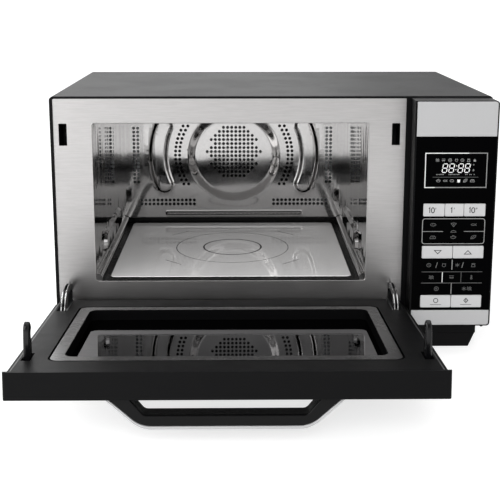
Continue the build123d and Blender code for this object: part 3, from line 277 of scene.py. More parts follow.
def finish(name, colour, on=(), tone=0.12, rough=(0.4, 0.5), metal=0.0, grain=1500.0, bump=0.1,
           brushed=None, across=900.0, aniso=0.0, waves=None, waveStretch=(1.0, 1.0, 1.0), marks=14.0,
           coat=0.0, coatRough=0.05, specular=0.5, opaque=1.0):
    # a finish: its colour and a little darker tone, its gloss from and to, grain size or brushed direction
    material, tree, shader = newPaint(name)
    place = objectPlace(tree)
    handled = put(tree, "ShaderNodeGroup", {"Vector": place, "Size": marks}, node_tree=handlingEffect)
    if brushed:
        along = put(tree, "ShaderNodeMapping", {"Vector": place, "Scale": brushed}).outputs["Vector"]
        surface = put(tree, "ShaderNodeGroup", {"Vector": along, "Across": across}, node_tree=brushEffect)
        pattern = surface.outputs["Streak"]
    else:
        surface = put(tree, "ShaderNodeGroup", {"Vector": place, "Size": grain}, node_tree=grainEffect)
        pattern = surface.outputs["Speck"]
    darker = [channel * (1 - tone) for channel in colour]
    mix = put(tree, "ShaderNodeMix", {"Factor": pattern, "A": (*colour, 1), "B": (*darker, 1)},
              data_type="RGBA")
    share = effectShape["markShare"]
    uneven = calc(tree, "ADD", calc(tree, "MULTIPLY", handled.outputs["Mark"], share),
                  calc(tree, "MULTIPLY", pattern, 1 - share))
    relief = put(tree, "ShaderNodeBump", {"Strength": bump, "Distance": effectShape["reliefDeep"],
                                          "Height": surface.outputs["Height"]})
    if waves:                # slow waves of thin sheet that bend what it mirrors
        stretched = put(tree, "ShaderNodeMapping", {"Vector": place, "Scale": waveStretch}).outputs["Vector"]
        swell = put(tree, "ShaderNodeBump", {"Distance": waves[1],
                                             "Height": noise(tree, stretched, waves[0], 1.0)})
        tree.links.new(swell.outputs["Normal"], relief.inputs["Normal"])
    setInputs(tree, shader, {"Base Color": mix.outputs["Result"], "Metallic": metal, "Coat Weight": coat,
                             "Roughness": remap(tree, uneven, (0.0, 1.0), rough), "Anisotropic": aniso,
                             "Coat Roughness": coatRough, "Specular IOR Level": specular,
                             "Normal": relief.outputs["Normal"], "Alpha": opaque})
    for node in on:
        nodes[node].data.materials.clear()
        nodes[node].data.materials.append(material)
    return material


# Finishes of the casing, cavity, door and works, and the nodes that they are on

looks = {
    "casingPaint": {
        "on": ["outer_cabinet"],
        "colour": (0.0145, 0.0145, 0.0155), "tone": 0.35, "rough": (0.45, 0.49), "grain": 1900.0,
        "bump": 0.3, "specular": 0.06},
    "framePaint": {
        "on": ["front_frame"],
        "colour": (0.50, 0.49, 0.487), "tone": 0.07, "rough": (0.33, 0.42), "metal": 1.0, "bump": 0.04,
        "brushed": (0.05, 1.0, 1.0), "across": 1900.0, "aniso": 0.3, "marks": 7.0},
    "cavitySteel": {
        "on": ["cavity_shell", "cavity_back_wall"],
        "colour": (0.44, 0.433, 0.43), "tone": 0.05, "rough": (0.03, 0.07), "metal": 1.0, "bump": 0.012,
        "brushed": (1.0, 0.05, 1.0), "marks": 9.0, "waves": (26.0, 0.0016), "waveStretch": (1.0, 1.0, 0.15)},
    "backSteel": {
        "colour": (0.43, 0.423, 0.42), "tone": 0.05, "rough": (0.06, 0.10), "metal": 1.0, "bump": 0.012,
        "brushed": (1.0, 0.05, 1.0), "marks": 9.0, "waves": (16.0, 0.0006)},
    "footSteel": {
        "colour": (0.56, 0.552, 0.548), "tone": 0.05, "rough": (0.07, 0.12), "metal": 1.0, "grain": 1200.0,
        "bump": 0.01, "waves": (20.0, 0.0004)},
    # steel pieces seen only through the back wall's perforations and the latch slots, painted near-black as the
    # shade behind them
    "housingShadeBlack": {
        "on": ["convection_housing", "latch_brackets"],
        "colour": (0.02, 0.02, 0.021), "tone": 0.3, "rough": (0.5, 0.6), "metal": 0.2, "grain": 900.0,
        "bump": 0.08, "specular": 0.2},
    "zincSheet": {
        "on": ["rear_panel", "rear_motor_cover", "cavity_floor", "lamp_housing", "waveguide",
               "antenna_motor", "convection_motor", "hinge_brackets"],
        "colour": (0.42, 0.43, 0.44), "tone": 0.09, "rough": (0.30, 0.40), "metal": 0.9, "grain": 55.0,
        "bump": 0.03},
    "armSteel": {
        "on": ["door_hinge_arms"],
        "colour": (0.62, 0.62, 0.62), "tone": 0.15, "rough": (0.14, 0.24), "metal": 1.0, "bump": 0.05,
        "brushed": (1.0, 0.06, 1.0)},
    # black of the mouldings; the base plate is sheet steel and takes this black as painted shade, where it lies in
    # shadow under the panel and door
    "blackMouldingAndShade": {
        "on": ["front_feet", "rear_feet", "cord_gland", "cooling_fan_duct", "interlock_switches",
               "panel_housing", "door_outer_frame", "door_inner_border", "base_plate"],
        "colour": (0.003, 0.003, 0.0033), "tone": 0.3, "rough": (0.40, 0.48), "grain": 2400.0,
        "bump": 0.12, "specular": 0.09},
    "pianoBlack": {
        "on": ["panel_overlay", "display_module"],
        "colour": (0.0007, 0.0007, 0.0009), "tone": 0.1, "rough": (0.05, 0.1), "grain": 500.0,
        "bump": 0.004, "specular": 0.01},
    "chokeSatin": {
        "on": ["choke_cover"],
        "colour": (0.013, 0.013, 0.0135), "tone": 0.45, "rough": (0.24, 0.32), "grain": 1100.0,
        "bump": 0.35, "specular": 0.75, "coat": 0.5, "coatRough": 0.3},
    # black for the trough walls of the choke cover, darker than the cover and mirroring nothing: painted shade in
    # the trough
    "troughShadeBlack": {
        "colour": (0.003, 0.003, 0.0032), "tone": 0.2, "rough": (0.2, 0.3), "grain": 600.0,
        "bump": 0.01, "specular": 0.0},
    "hookBlack": {
        "on": ["latch_hook_left", "latch_hook_right"],
        "colour": (0.003, 0.003, 0.0035), "tone": 0.3, "rough": (0.10, 0.16), "bump": 0.04,
        "specular": 0.3},
    "handleBlack": {
        "on": ["handle_bar"],
        "colour": (0.003, 0.003, 0.0032), "tone": 0.3, "rough": (0.14, 0.22), "bump": 0.04,
        "specular": 0.14},
    "screenBlack": {
        "on": ["door_steel_frame"],
        "colour": (0.022, 0.022, 0.022), "tone": 0.3, "grain": 1300.0, "bump": 0.08},
    "edgeSteel": {
        "colour": (0.52, 0.51, 0.505), "tone": 0.06, "rough": (0.26, 0.34), "metal": 1.0,
        "grain": 1200.0, "bump": 0.02},
    "silverLacquer": {
        "on": ["panel_trims", "handle_trim"],
        "colour": (0.46, 0.46, 0.465), "tone": 0.05, "rough": (0.34, 0.42), "metal": 0.35,
        "grain": 3200.0, "bump": 0.03},
    "keySilver": {
        "on": keyNames,
        "colour": (0.53, 0.53, 0.535), "tone": 0.04, "rough": (0.38, 0.46), "metal": 0.2,
        "grain": 3000.0, "bump": 0.03},
    "ceramicGlaze": {
        "on": ["ceramic_floor_plate"],
        "colour": (0.93, 0.92, 0.915), "tone": 0.04, "rough": (0.04, 0.07), "grain": 700.0,
        "bump": 0.004, "specular": 0.6, "coat": 1.0, "coatRough": 0.03},
    "sealRubber": {
        "on": ["floor_seal"],
        "colour": (0.003, 0.003, 0.003), "tone": 0.2, "rough": (0.22, 0.34), "grain": 900.0,
        "bump": 0.05, "specular": 0.12},
    "windowMirror": {
        "on": ["inner_window"],
        "colour": (0.14, 0.14, 0.147), "tone": 0.02, "rough": (0.015, 0.03), "metal": 1.0,
        "grain": 300.0, "bump": 0.001},
    "doorGlass": {
        "on": ["door_front_glass"],
        "colour": (0.004, 0.004, 0.005), "tone": 0.02, "rough": (0.01, 0.03), "grain": 300.0,
        "bump": 0.0005, "opaque": 0.4},
    "screwPlating": {
        "on": ["cabinet_screws", "door_screws", "hinge_pins"],
        "colour": (0.55, 0.55, 0.56), "tone": 0.2, "rough": (0.2, 0.32), "metal": 1.0, "grain": 1800.0},
    "boardGreen": {
        "on": ["inverter_unit", "power_board", "key_board"],
        "colour": (0.03, 0.16, 0.06), "tone": 0.5, "rough": (0.35, 0.5), "grain": 420.0},
    "darkSteel": {
        "on": ["ring_heater", "cooling_fan_motor", "convection_fan"],
        "colour": (0.05, 0.05, 0.052), "tone": 0.3, "rough": (0.28, 0.4), "metal": 0.9,
        "grain": 1300.0, "bump": 0.08},
    "rolledAluminium": {
        "on": ["grill_reflector", "magnetron", "stirrer_antenna"],
        "colour": (0.70, 0.70, 0.71), "rough": (0.25, 0.36), "metal": 1.0, "bump": 0.05,
        "brushed": (1.0, 1.0, 0.05)},
    "ivoryPlastic": {
        "on": ["cooling_fan"],
        "colour": (0.72, 0.70, 0.65), "tone": 0.06, "bump": 0.05},
    "frostedQuartz": {
        "on": ["grill_elements", "oven_lamp"],
        "colour": (0.80, 0.78, 0.74), "tone": 0.08, "rough": (0.15, 0.25), "grain": 1200.0,
        "bump": 0.05, "coat": 0.6},
}

paints = {name: finish(name, **look) for name, look in looks.items()}
print("finishes are on", len(nodes), "nodes")

# Which body each CAD node has, for the pieces that stand for it

record = frame["record"]
bodyOf = {node: body for body, members in record["behaviour"]["bodies"].items() for node in members}


def standFor(piece, *replaced):
    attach(piece, bodyOf[replaced[0]])
    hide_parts(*replaced)
    return piece


def addPiece(name, mesh, material):
    piece = bpy.data.objects.new(name, mesh)
    scene.collection.objects.link(piece)
    mesh.materials.clear()
    mesh.materials.append(material)
    return piece


def closeMesh(work, name):
    bmesh.ops.recalc_face_normals(work, faces=work.faces[:])
    mesh = bpy.data.meshes.new(name)
    work.to_mesh(mesh)
    work.free()
    return mesh


def smooth(mesh, sharpDegrees):
    mesh.shade_smooth()
    mesh.set_sharp_from_angle(angle=math.radians(sharpDegrees))


# Broken edges: welded copies of the sharp CAD pieces, with each sharp edge rounded by so many millimetres

edgeRadii = {"door_outer_frame": 0.8, "door_inner_border": 0.5, "choke_cover": 0.5, "handle_bar": 1.6,
             "handle_trim": 0.5, "panel_housing": 0.6, "panel_trims": 0.25, "front_feet": 1.0,
             "rear_feet": 1.0, "front_frame": 0.4, "outer_cabinet": 0.4, "door_hinge_arms": 0.25,
             "rear_motor_cover": 1.2, "cord_gland": 0.6, "door_front_glass": 0.6,
             **dict.fromkeys(keyNames, 0.35)}
edgeShape = {"segments": 2, "sharpDegrees": 34, "flatDegrees": 0.3, "rimFacing": 0.9}


def weldedCopy(name):
    mesh = nodes[name].data.copy()
    mesh.name = name + "_edged"
    for attribute in [layer for layer in mesh.attributes if layer.name == "custom_normal"]:
        mesh.attributes.remove(attribute)
    work = bmesh.new()
    work.from_mesh(mesh)
    bmesh.ops.remove_doubles(work, verts=work.verts[:], dist=weldGap)
    bmesh.ops.dissolve_limit(work, angle_limit=math.radians(edgeShape["flatDegrees"]), verts=work.verts[:],
                             edges=work.edges[:])
    work.to_mesh(mesh)
    work.free()
    mesh.shade_smooth()
    return mesh


def breakEdges(name, radius, look):
    piece = addPiece(name + "_edged", weldedCopy(name), nodes[name].data.materials[0])
    rounding = piece.modifiers.new("brokenEdges", "BEVEL")
    rounding.width = radius / 1000
    rounding.segments = look["segments"]
    rounding.limit_method = "ANGLE"
    rounding.angle_limit = math.radians(look["sharpDegrees"])
    rounding.harden_normals = True
    return standFor(piece, name)


edged = {name: breakEdges(name, radius, edgeShape) for name, radius in edgeRadii.items()}

# the choke cover is satin on its flat rims; the walls of the trough between them get a darker black that mirrors
# nothing, as painted shade in the trough
inward = onDoor(0, 1000, 0) - onDoor(0, 0, 0)
edged["choke_cover"].data.materials.append(paints["troughShadeBlack"])
for face in edged["choke_cover"].data.polygons:
    face.material_index = 0 if face.normal.dot(inward) > edgeShape["rimFacing"] else 1
print("edges are broken on", len(edged), "pieces")


# Back wall of the cavity: one pressed sheet with a dish, two crescents, a rib and its perforations

backWall = {"left": -209.5, "right": 114.1, "bottom": 91.4, "top": 275.9, "front": 293.3, "sheet": 0.8,
            "dish": (-45.6, 185.2), "dishInner": 56.3, "dishOuter": 68.5, "dishProud": 5.0,
            "crescentRadius": 111.3, "crescentHalf": 14.25, "crescentDegrees": 23.0, "crescentProud": 4.0,
            "crescentSlope": 6.0, "ramp": (0.45, 0.55),
            # rib: half its length, its height on the wall, half its width and how proud it is
            "rib": (102.0, 97.7, 2.4, 2.0), "ribSlope": 1.6,
            # rings of points along a bend: how many, how far out the first is, how far apart, and the turns
            "dishRings": (14, 1.5, 1.17, 144), "crescentRings": (9, 0.6, 0.9, 20),
            "ribLifts": (-2.7, -2.0, -1.4, -0.8, 0.0, 0.8, 1.4, 2.0, 2.7), "ribColumns": (35, 3.0),
            "gridStep": 6.5, "gridInset": (5.0, 2.0), "rimSteps": 40, "rimGap": 0.5, "sharpDegrees": 32,
            "hole": 2.2, "holeSides": 14, "pitch": 6.0, "punchDeep": 12.0,
            # holes in each row of the dish, and the low rows: first place, columns, height and rows
            "dishRows": (6, 8, 10, 12, 10, 12, 14, 12, 10, 12, 10, 8, 6), "lowRows": (59.0, 14, 117.5, 2),
            "sideWalls": {-1: -208.7, 1: 113.3}, "sideInsets": (16.3, 22.1), "sidePitch": 5.75,
            "arcRadii": (80.0, 86.0), "arcPitch": 6.2, "sideHalf": 7}


def wallHoles(look):
    dishX, dishZ = look["dish"]
    pitch = look["pitch"]
    places = []
    for row, count in enumerate(look["dishRows"]):
        level = dishZ + (len(look["dishRows"]) // 2 + 1 - row) * pitch
        places += [(dishX + (column - (count - 1) / 2) * pitch, level) for column in range(count)]
    start, columns, height, rows = look["lowRows"]
    for side, wall in look["sideWalls"].items():
        for column in range(columns):
            places += [(dishX + side * (start + column * pitch), height - row * pitch) for row in range(rows)]
        for row in range(-look["sideHalf"], look["sideHalf"] + 1):
            places += [(wall - side * inset, dishZ + row * look["sidePitch"]) for inset in look["sideInsets"]]
            rise = row * look["arcPitch"]
            places += [(dishX + side * math.sqrt(radius ** 2 - rise ** 2), dishZ + rise)
                       for radius in look["arcRadii"]]
    return places


def slope(look, depth, width):
    # from 0 outside a pressed form to 1 on its flat, partly a straight ramp and partly a rounded one
    straight, rounded = look["ramp"]
    share = min(max(depth / width, 0.0), 1.0)
    return straight * share + rounded * share * share * (3 - 2 * share)


def arcGap(look, x, z):
    # how far a point lies from the middle line of the nearer crescent
    dishX, dishZ = look["dish"]
    reach = look["crescentRadius"]
    across, up = abs(x - dishX), z - dishZ
    angle = math.degrees(math.atan2(up, across))
    if abs(angle) <= look["crescentDegrees"]:
        return abs(math.hypot(across, up) - reach)
    end = math.radians(math.copysign(look["crescentDegrees"], angle))
    return math.hypot(across - reach * math.cos(end), up - reach * math.sin(end))


def pressedOut(look, x, z):
    dishX, dishZ = look["dish"]
    away = math.hypot(x - dishX, z - dishZ)
    ribHalf, ribZ, ribTall, ribProud = look["rib"]
    ribGap = math.hypot(max(abs(x - dishX) - ribHalf + ribTall, 0.0), z - ribZ)
    arcDepth = look["crescentHalf"] - arcGap(look, x, z)
    return (look["dishProud"] * slope(look, look["dishOuter"] - away, look["dishOuter"] - look["dishInner"])
            + look["crescentProud"] * slope(look, arcDepth, look["crescentSlope"])
            + ribProud * slope(look, ribTall - ribGap, look["ribSlope"]))


def wallPoints(look):
    # where the sheet bends there are rows of points along the bend, and a wide grid lies between them
    dishX, dishZ = look["dish"]
    points = []
    rings, outside, apart, around = look["dishRings"]
    for ring in range(rings):
        radius = look["dishInner"] - outside + ring * apart
        for turn in range(around):
            angle = turn * math.tau / around
            points.append((dishX + radius * math.cos(angle), dishZ + radius * math.sin(angle)))
    half, reach = math.radians(look["crescentDegrees"]), look["crescentRadius"]
    rings, outside, apart, around = look["crescentRings"]
    for ring in range(rings):
        gap = look["crescentHalf"] + outside - ring * apart
        for side in (-1, 1):
            for turn in range(2 * around + 1):
                angle = half * (turn / around - 1)
                points += [(dishX + side * radius * math.cos(angle), dishZ + radius * math.sin(angle))
                           for radius in (reach - gap, reach + gap)]
            for turn in range(1, around):
                for end in (-1, 1):
                    bend = end * (half + turn * math.pi / around)
                    points.append((dishX + side * (reach * math.cos(half) + gap * math.cos(bend)),
                                   dishZ + end * reach * math.sin(half) + gap * math.sin(bend)))
    columns, apart = look["ribColumns"]
    for lift in look["ribLifts"]:
        points += [(dishX + column * apart, look["rib"][1] + lift) for column in range(-columns, columns + 1)]
    first, last = look["gridInset"]
    x = look["left"] + first
    while x < look["right"] - last:
        z = look["bottom"] + first
        while z < look["top"] - last:
            points.append((x, z))
            z += look["gridStep"]
        x += look["gridStep"]
    return points


def addSheet(work, points, outline, front, thick):
    # a sheet through scattered points, the first of which are its outline, with its edge closed
    edges = [(step, (step + 1) % outline) for step in range(outline)]
    flat = delaunay_2d_cdt([Vector(point) for point in points], edges, [], 0, sheetGap)
    near, far = [[work.verts.new(at(spot.x, front(spot.x, spot.y) + depth, spot.y)) for spot in flat[0]]
                 for depth in (0, thick)]
    rim = {}
    for face in flat[2]:
        work.faces.new([near[index] for index in face])
        work.faces.new([far[index] for index in reversed(face)])
        rim.update(dict.fromkeys(zip(face, face[1:] + face[:1])))
    for one, two in rim:
        if (two, one) not in rim:
            work.faces.new((near[two], near[one], far[one], far[two]))


# A node tree that punches round holes through a sheet, one at each loose point that is marked as a hole

def newTree(name, inputs):
    tree = bpy.data.node_groups.new(name, "GeometryNodeTree")
    for way in ("INPUT", "OUTPUT"):
        tree.interface.new_socket("Geometry", in_out=way, socket_type="NodeSocketGeometry")
    for label, kind in inputs.items():
        tree.interface.new_socket(label, in_out="INPUT", socket_type="NodeSocket" + kind)
    return tree, put(tree, "NodeGroupInput", {}).outputs, put(tree, "NodeGroupOutput", {})


def socketOf(tree, name):
    return next(item.identifier for item in tree.interface.items_tree
                if item.item_type == "SOCKET" and item.in_out == "INPUT" and item.name == name)


def finishTree(tree, given, result, mesh):
    real = put(tree, "GeometryNodeRealizeInstances", {"Geometry": mesh}).outputs[0]
    paint = put(tree, "GeometryNodeSetMaterial", {"Geometry": real, "Material": given["Material"]})
    setInputs(tree, result, {"Geometry": paint.outputs[0]})
    return tree


def facing(tree, axis):
    return put(tree, "FunctionNodeAlignRotationToVector", {"Vector": axis}, axis="Z").outputs[0]


def cutAway(tree, mesh, tool):
    return put(tree, "GeometryNodeMeshBoolean", {"Mesh 1": mesh, "Mesh 2": tool}, operation="DIFFERENCE",
               solver="MANIFOLD")


def makePuncher():
    tree, given, result = newTree("punchHoles", {"Hole Radius": "Float", "Sides": "Int", "Depth": "Float",
                                                 "Axis": "Vector", "Material": "Material"})
    mark = put(tree, "GeometryNodeInputNamedAttribute", {"Name": "holeCentre"}, data_type="BOOLEAN")
    split = put(tree, "GeometryNodeSeparateGeometry", {"Geometry": given["Geometry"],
                                                       "Selection": mark.outputs["Attribute"]}).outputs
    punch = put(tree, "GeometryNodeMeshCylinder", {"Radius": given["Hole Radius"], "Vertices": given["Sides"],
                                                   "Depth": given["Depth"]}).outputs["Mesh"]
    place = put(tree, "GeometryNodeInstanceOnPoints", {"Points": split["Selection"], "Instance": punch,
                                                       "Rotation": facing(tree, given["Axis"])})
    tools = put(tree, "GeometryNodeRealizeInstances", {"Geometry": place.outputs["Instances"]}).outputs[0]
    return finishTree(tree, given, result, cutAway(tree, split["Inverted"], tools).outputs["Mesh"])


def grow(name, replaced, mesh, tree, values, paint, sharpDegrees):
    # runs a node tree on a mesh, and puts the plain mesh that it makes in the place of a CAD node
    holder = bpy.data.objects.new(name, mesh)
    scene.collection.objects.link(holder)
    modifier = holder.modifiers.new("nodes", "NODES")
    modifier.node_group = tree
    for label, value in {**values, "Material": paint}.items():
        modifier[socketOf(tree, label)] = value
    made = bpy.data.meshes.new_from_object(holder.evaluated_get(bpy.context.evaluated_depsgraph_get()))
    made.name = name
    bpy.data.objects.remove(holder)
    smooth(made, sharpDegrees)
    standFor(addPiece(name, made, paint), replaced)


def makeBackWall(look):
    left, right, bottom, top = look["left"], look["right"], look["bottom"], look["top"]
    corners = [(left, bottom), (right, bottom), (right, top), (left, top)]
    steps = look["rimSteps"]
    points = [(x0 + (x1 - x0) * step / steps, z0 + (z1 - z0) * step / steps)
              for (x0, z0), (x1, z1) in zip(corners, corners[1:] + corners[:1]) for step in range(steps)]
    outline = len(points)
    gap = look["rimGap"]
    points += [(x, z) for x, z in wallPoints(look)
               if left + gap < x < right - gap and bottom + gap < z < top - gap]
    work = bmesh.new()
    centre = work.verts.layers.bool.new("holeCentre")
    addSheet(work, points, outline, lambda x, z: look["front"] - pressedOut(look, x, z), look["sheet"])
    for x, z in wallHoles(look):
        work.verts.new(at(x, look["front"] - pressedOut(look, x, z), z))[centre] = True
    grow("back_wall_pressed", "cavity_back_wall", closeMesh(work, "pressedSheet"), puncher,
         {"Hole Radius": look["hole"] / 1000, "Sides": look["holeSides"], "Depth": look["punchDeep"] / 1000,
          "Axis": (0.0, 1.0, 0.0)}, paints["backSteel"], look["sharpDegrees"])


puncher = makePuncher()
makeBackWall(backWall)
print("back wall is pressed and perforated")


# Screws: pan heads with a cross recess, each turned by chance, on the seats of the CAD screws

# each size is an input of the node tree, by its name
screwShape = {"Head Radius": 3.4, "Head Height": 2.0, "Shank Radius": 1.5, "Shank Length": 4.0,
              "Recess Length": 3.6, "Recess Width": 0.75, "Recess Depth": 1.2}
screwForm = {"headSides": 20, "headRings": 5, "crownPower": 3.0, "crownDrop": 0.55, "shankSides": 12,
             "shankSunk": -0.48}
screwNodes = {"cabinet_screws": Vector((0, 1, 0)), "door_screws": inward.normalized()}


def makeScrewTree(look, form):
    tree, given, result = newTree("panScrews", {**dict.fromkeys(look, "Float"), "Axis": "Vector",
                                                "Seed": "Int", "Material": "Material"})

    def figure(operation, first, second=0.0):
        return calc(tree, operation, first, second)

    def vector(x, y, z):
        return put(tree, "ShaderNodeCombineXYZ", {"X": x, "Y": y, "Z": z}).outputs[0]

    def raised(mesh, height):
        lift = vector(0.0, 0.0, height)
        return put(tree, "GeometryNodeTransform", {"Geometry": mesh, "Translation": lift}).outputs[0]

    high = given["Head Height"]
    blank = put(tree, "GeometryNodeMeshCylinder", {"Vertices": form["headSides"], "Depth": high,
                                                   "Side Segments": form["headRings"],
                                                   "Radius": given["Head Radius"]}).outputs["Mesh"]
    place = put(tree, "GeometryNodeInputPosition", {}).outputs[0]
    spot = put(tree, "ShaderNodeSeparateXYZ", {0: place}).outputs
    share = figure("ADD", figure("DIVIDE", spot["Z"], high), 0.5)
    drop = figure("MULTIPLY", figure("POWER", share, form["crownPower"]), form["crownDrop"])
    crown = figure("SQRT", figure("SUBTRACT", 1.0, drop))
    domed = vector(figure("MULTIPLY", spot["X"], crown), figure("MULTIPLY", spot["Y"], crown), spot["Z"])
    head = put(tree, "GeometryNodeSetPosition", {"Geometry": blank, "Position": domed}).outputs[0]
    head = raised(head, figure("MULTIPLY", high, 0.5))
    bars = []
    deep = figure("MULTIPLY", given["Recess Depth"], 2.0)
    for across, along in (("Recess Length", "Recess Width"), ("Recess Width", "Recess Length")):
        bar = put(tree, "GeometryNodeMeshCube", {"Size": vector(given[across], given[along], deep)})
        bars.append(raised(bar.outputs["Mesh"], high))
    cut = cutAway(tree, head, bars[0])
    tree.links.new(bars[1], cut.inputs["Mesh 2"])
    shank = put(tree, "GeometryNodeMeshCylinder", {"Vertices": form["shankSides"],
                                                   "Radius": given["Shank Radius"],
                                                   "Depth": given["Shank Length"]}).outputs["Mesh"]
    shank = raised(shank, figure("MULTIPLY", given["Shank Length"], form["shankSunk"]))
    whole = put(tree, "GeometryNodeJoinGeometry", {"Geometry": cut.outputs["Mesh"]})
    tree.links.new(shank, whole.inputs["Geometry"])
    chance = put(tree, "FunctionNodeRandomValue", {2: 0.0, 3: math.tau, "Seed": given["Seed"]},
                 data_type="FLOAT").outputs[1]
    spin = put(tree, "FunctionNodeAxisAngleToRotation", {"Axis": (0, 0, 1), "Angle": chance}).outputs[0]
    turned = put(tree, "FunctionNodeRotateRotation", {"Rotation": facing(tree, given["Axis"]),
                                                      "Rotate By": spin}, rotation_space="LOCAL")
    placed = put(tree, "GeometryNodeInstanceOnPoints", {"Points": given["Geometry"],
                                                        "Instance": whole.outputs[0],
                                                        "Rotation": turned.outputs[0]})
    return finishTree(tree, given, result, placed.outputs["Instances"])


def screwSeats(name, out, headHeight):
    # where the foot of each head lies, from the tops of the CAD screws
    work = bmesh.new()
    work.from_mesh(nodes[name].data)
    bmesh.ops.remove_doubles(work, verts=work.verts[:], dist=weldGap)
    seats, known = [], set()
    for first in work.verts:
        if first in known:
            continue
        screw, waiting = [], [first]
        known.add(first)
        while waiting:
            vertex = waiting.pop()
            screw.append(vertex.co.copy())
            for other in [edge.other_vert(vertex) for edge in vertex.link_edges]:
                if other not in known:
                    known.add(other)
                    waiting.append(other)
        top = max(spot.dot(out) for spot in screw)
        rim = [spot for spot in screw if spot.dot(out) > top - levelGap]
        seats.append(Vector([(min(spot[axis] for spot in rim) + max(spot[axis] for spot in rim)) / 2
                             for axis in range(3)]) - out * headHeight / 1000)
    work.free()
    return seats


def makeScrews(look):
    tree = makeScrewTree(look, screwForm)
    values = {label: value / 1000 for label, value in look.items()}
    for seed, (name, out) in enumerate(screwNodes.items()):
        mesh = bpy.data.meshes.new(name + "_seats")
        mesh.from_pydata(screwSeats(name, out, look["Head Height"]), [], [])
        grow(name + "_cross", name, mesh, tree, {**values, "Axis": out, "Seed": seed},
             paints["screwPlating"], edgeShape["sharpDegrees"])


makeScrews(screwShape)
print("screws are in")


# Latch hooks: rounded mouldings that taper towards the nose, drawn along the hook and up from its pivot

hookShape = {"places": {"latch_hook_left": -241.9, "latch_hook_right": 144.9},
             "pivotY": -13.0, "pivotZ": 256.0,
             "outline": [(-4.4, 0.0), (-3.0, -4.2), (4.0, -4.5), (26.6, -4.7), (28.6, -1.9), (34.4, -1.9),
                         (36.2, -5.0), (40.0, -4.8), (44.9, 0.0), (45.0, 3.2), (41.4, 7.2), (33.0, 7.8),
                         (20.0, 7.6), (9.0, 7.4), (0.0, 4.5), (-3.6, 3.4)],
             "sections": [(-1, -90), (-1, -60), (-1, -30), (-1, 0), (1, 0), (1, 30), (1, 60), (1, 90)],
             "baseHalf": 3.5, "noseHalf": 2.8, "round": 1.5, "length": 45.0, "sharpDegrees": 50}


def joinRings(work, rings, count):
    # faces between each ring of points and the next
    for one, two in zip(rings, rings[1:]):
        for index in range(count):
            after = (index + 1) % count
            work.faces.new((one[index], one[after], two[after], two[index]))


def makeHook(name, x, look):
    outline = look["outline"]
    for cutting in range(2):     # each cut takes the corners off the outline
        outline = [(one[0] + (two[0] - one[0]) * share, one[1] + (two[1] - one[1]) * share)
                   for one, two in zip(outline, outline[1:] + outline[:1]) for share in (0.25, 0.75)]
    count = len(outline)
    work = bmesh.new()
    layers = []
    for side, degrees in look["sections"]:
        inset = look["round"] * (1 - math.cos(math.radians(degrees)))
        layer = []
        for index, (along, up) in enumerate(outline):
            before, after = outline[index - 1], outline[(index + 1) % count]
            run = Vector((after[0] - before[0], after[1] - before[1])).normalized()
            share = min(max(along / look["length"], 0.0), 1.0)
            half = look["baseHalf"] + (look["noseHalf"] - look["baseHalf"]) * share
            away = side * (half - look["round"]) + look["round"] * math.sin(math.radians(degrees))
            layer.append(work.verts.new(onDoor(x + away, look["pivotY"] + along - run.y * inset,
                                               look["pivotZ"] + up + run.x * inset)))
        layers.append(layer)
    joinRings(work, layers, count)
    work.faces.new(layers[0][::-1])
    work.faces.new(layers[-1])
    mesh = closeMesh(work, name + "_moulded")
    smooth(mesh, look["sharpDegrees"])
    standFor(addPiece(name + "_moulded", mesh, paints["hookBlack"]), name)


for name, x in hookShape["places"].items():
    makeHook(name, x, hookShape)
print("hooks are moulded")


# Printing: thin raised strips and plates of ink, drawn in two directions and lifted along a third

inkHeight = 0.05
miterLeast = 0.4         # keeps the corners of a strip from reaching far out at sharp turns


def strip(work, place, points, width, closed=False, high=inkHeight):
    count = len(points)
    rails = []
    for index, (u, v) in enumerate(points):
        before = points[index - 1] if closed or index else None
        after = points[(index + 1) % count] if closed or index < count - 1 else None
        runs = []
        for start, end in ((before, (u, v)), ((u, v), after)):
            if start and end:
                length = math.hypot(end[0] - start[0], end[1] - start[1])
                runs.append(((end[0] - start[0]) / length, (end[1] - start[1]) / length))
        normal = [sum(-run[1] for run in runs), sum(run[0] for run in runs)]
        size = math.hypot(*normal)
        normal = (normal[0] / size, normal[1] / size)
        miter = max(normal[0] * -runs[0][1] + normal[1] * runs[0][0], miterLeast)
        side = (normal[0] * width / 2 / miter, normal[1] * width / 2 / miter)
        rails.append([work.verts.new(place(u + sign * side[0], v + sign * side[1], lift))
                      for sign, lift in ((1, 0.0), (-1, 0.0), (-1, high), (1, high))])
    joinRings(work, rails + rails[:1] if closed else rails, 4)
    if not closed:
        work.faces.new(rails[0])
        work.faces.new(rails[-1][::-1])


def plate(work, place, outline, low=0.0, high=inkHeight):
    rings = [[work.verts.new(place(u, v, lift)) for u, v in outline] for lift in (low, high)]
    work.faces.new(rings[0][::-1])
    work.faces.new(rings[1])
    joinRings(work, rings, len(outline))


def arc(u, v, radius, start=0.0, end=360.0, steps=20, squash=1.0):
    full = abs(end - start) >= 360
    return [(u + radius * math.cos(math.radians(start + (end - start) * step / steps)),
             v + radius * squash * math.sin(math.radians(start + (end - start) * step / steps)))
            for step in range(steps if full else steps + 1)]


def roundedLoop(left, low, right, top, corner, steps=6):
    places = ((right - corner, top - corner), (left + corner, top - corner),
              (left + corner, low + corner), (right - corner, low + corner))
    return [point for quarter, (u, v) in enumerate(places)
            for point in arc(u, v, corner, quarter * 90, quarter * 90 + 90, steps)]


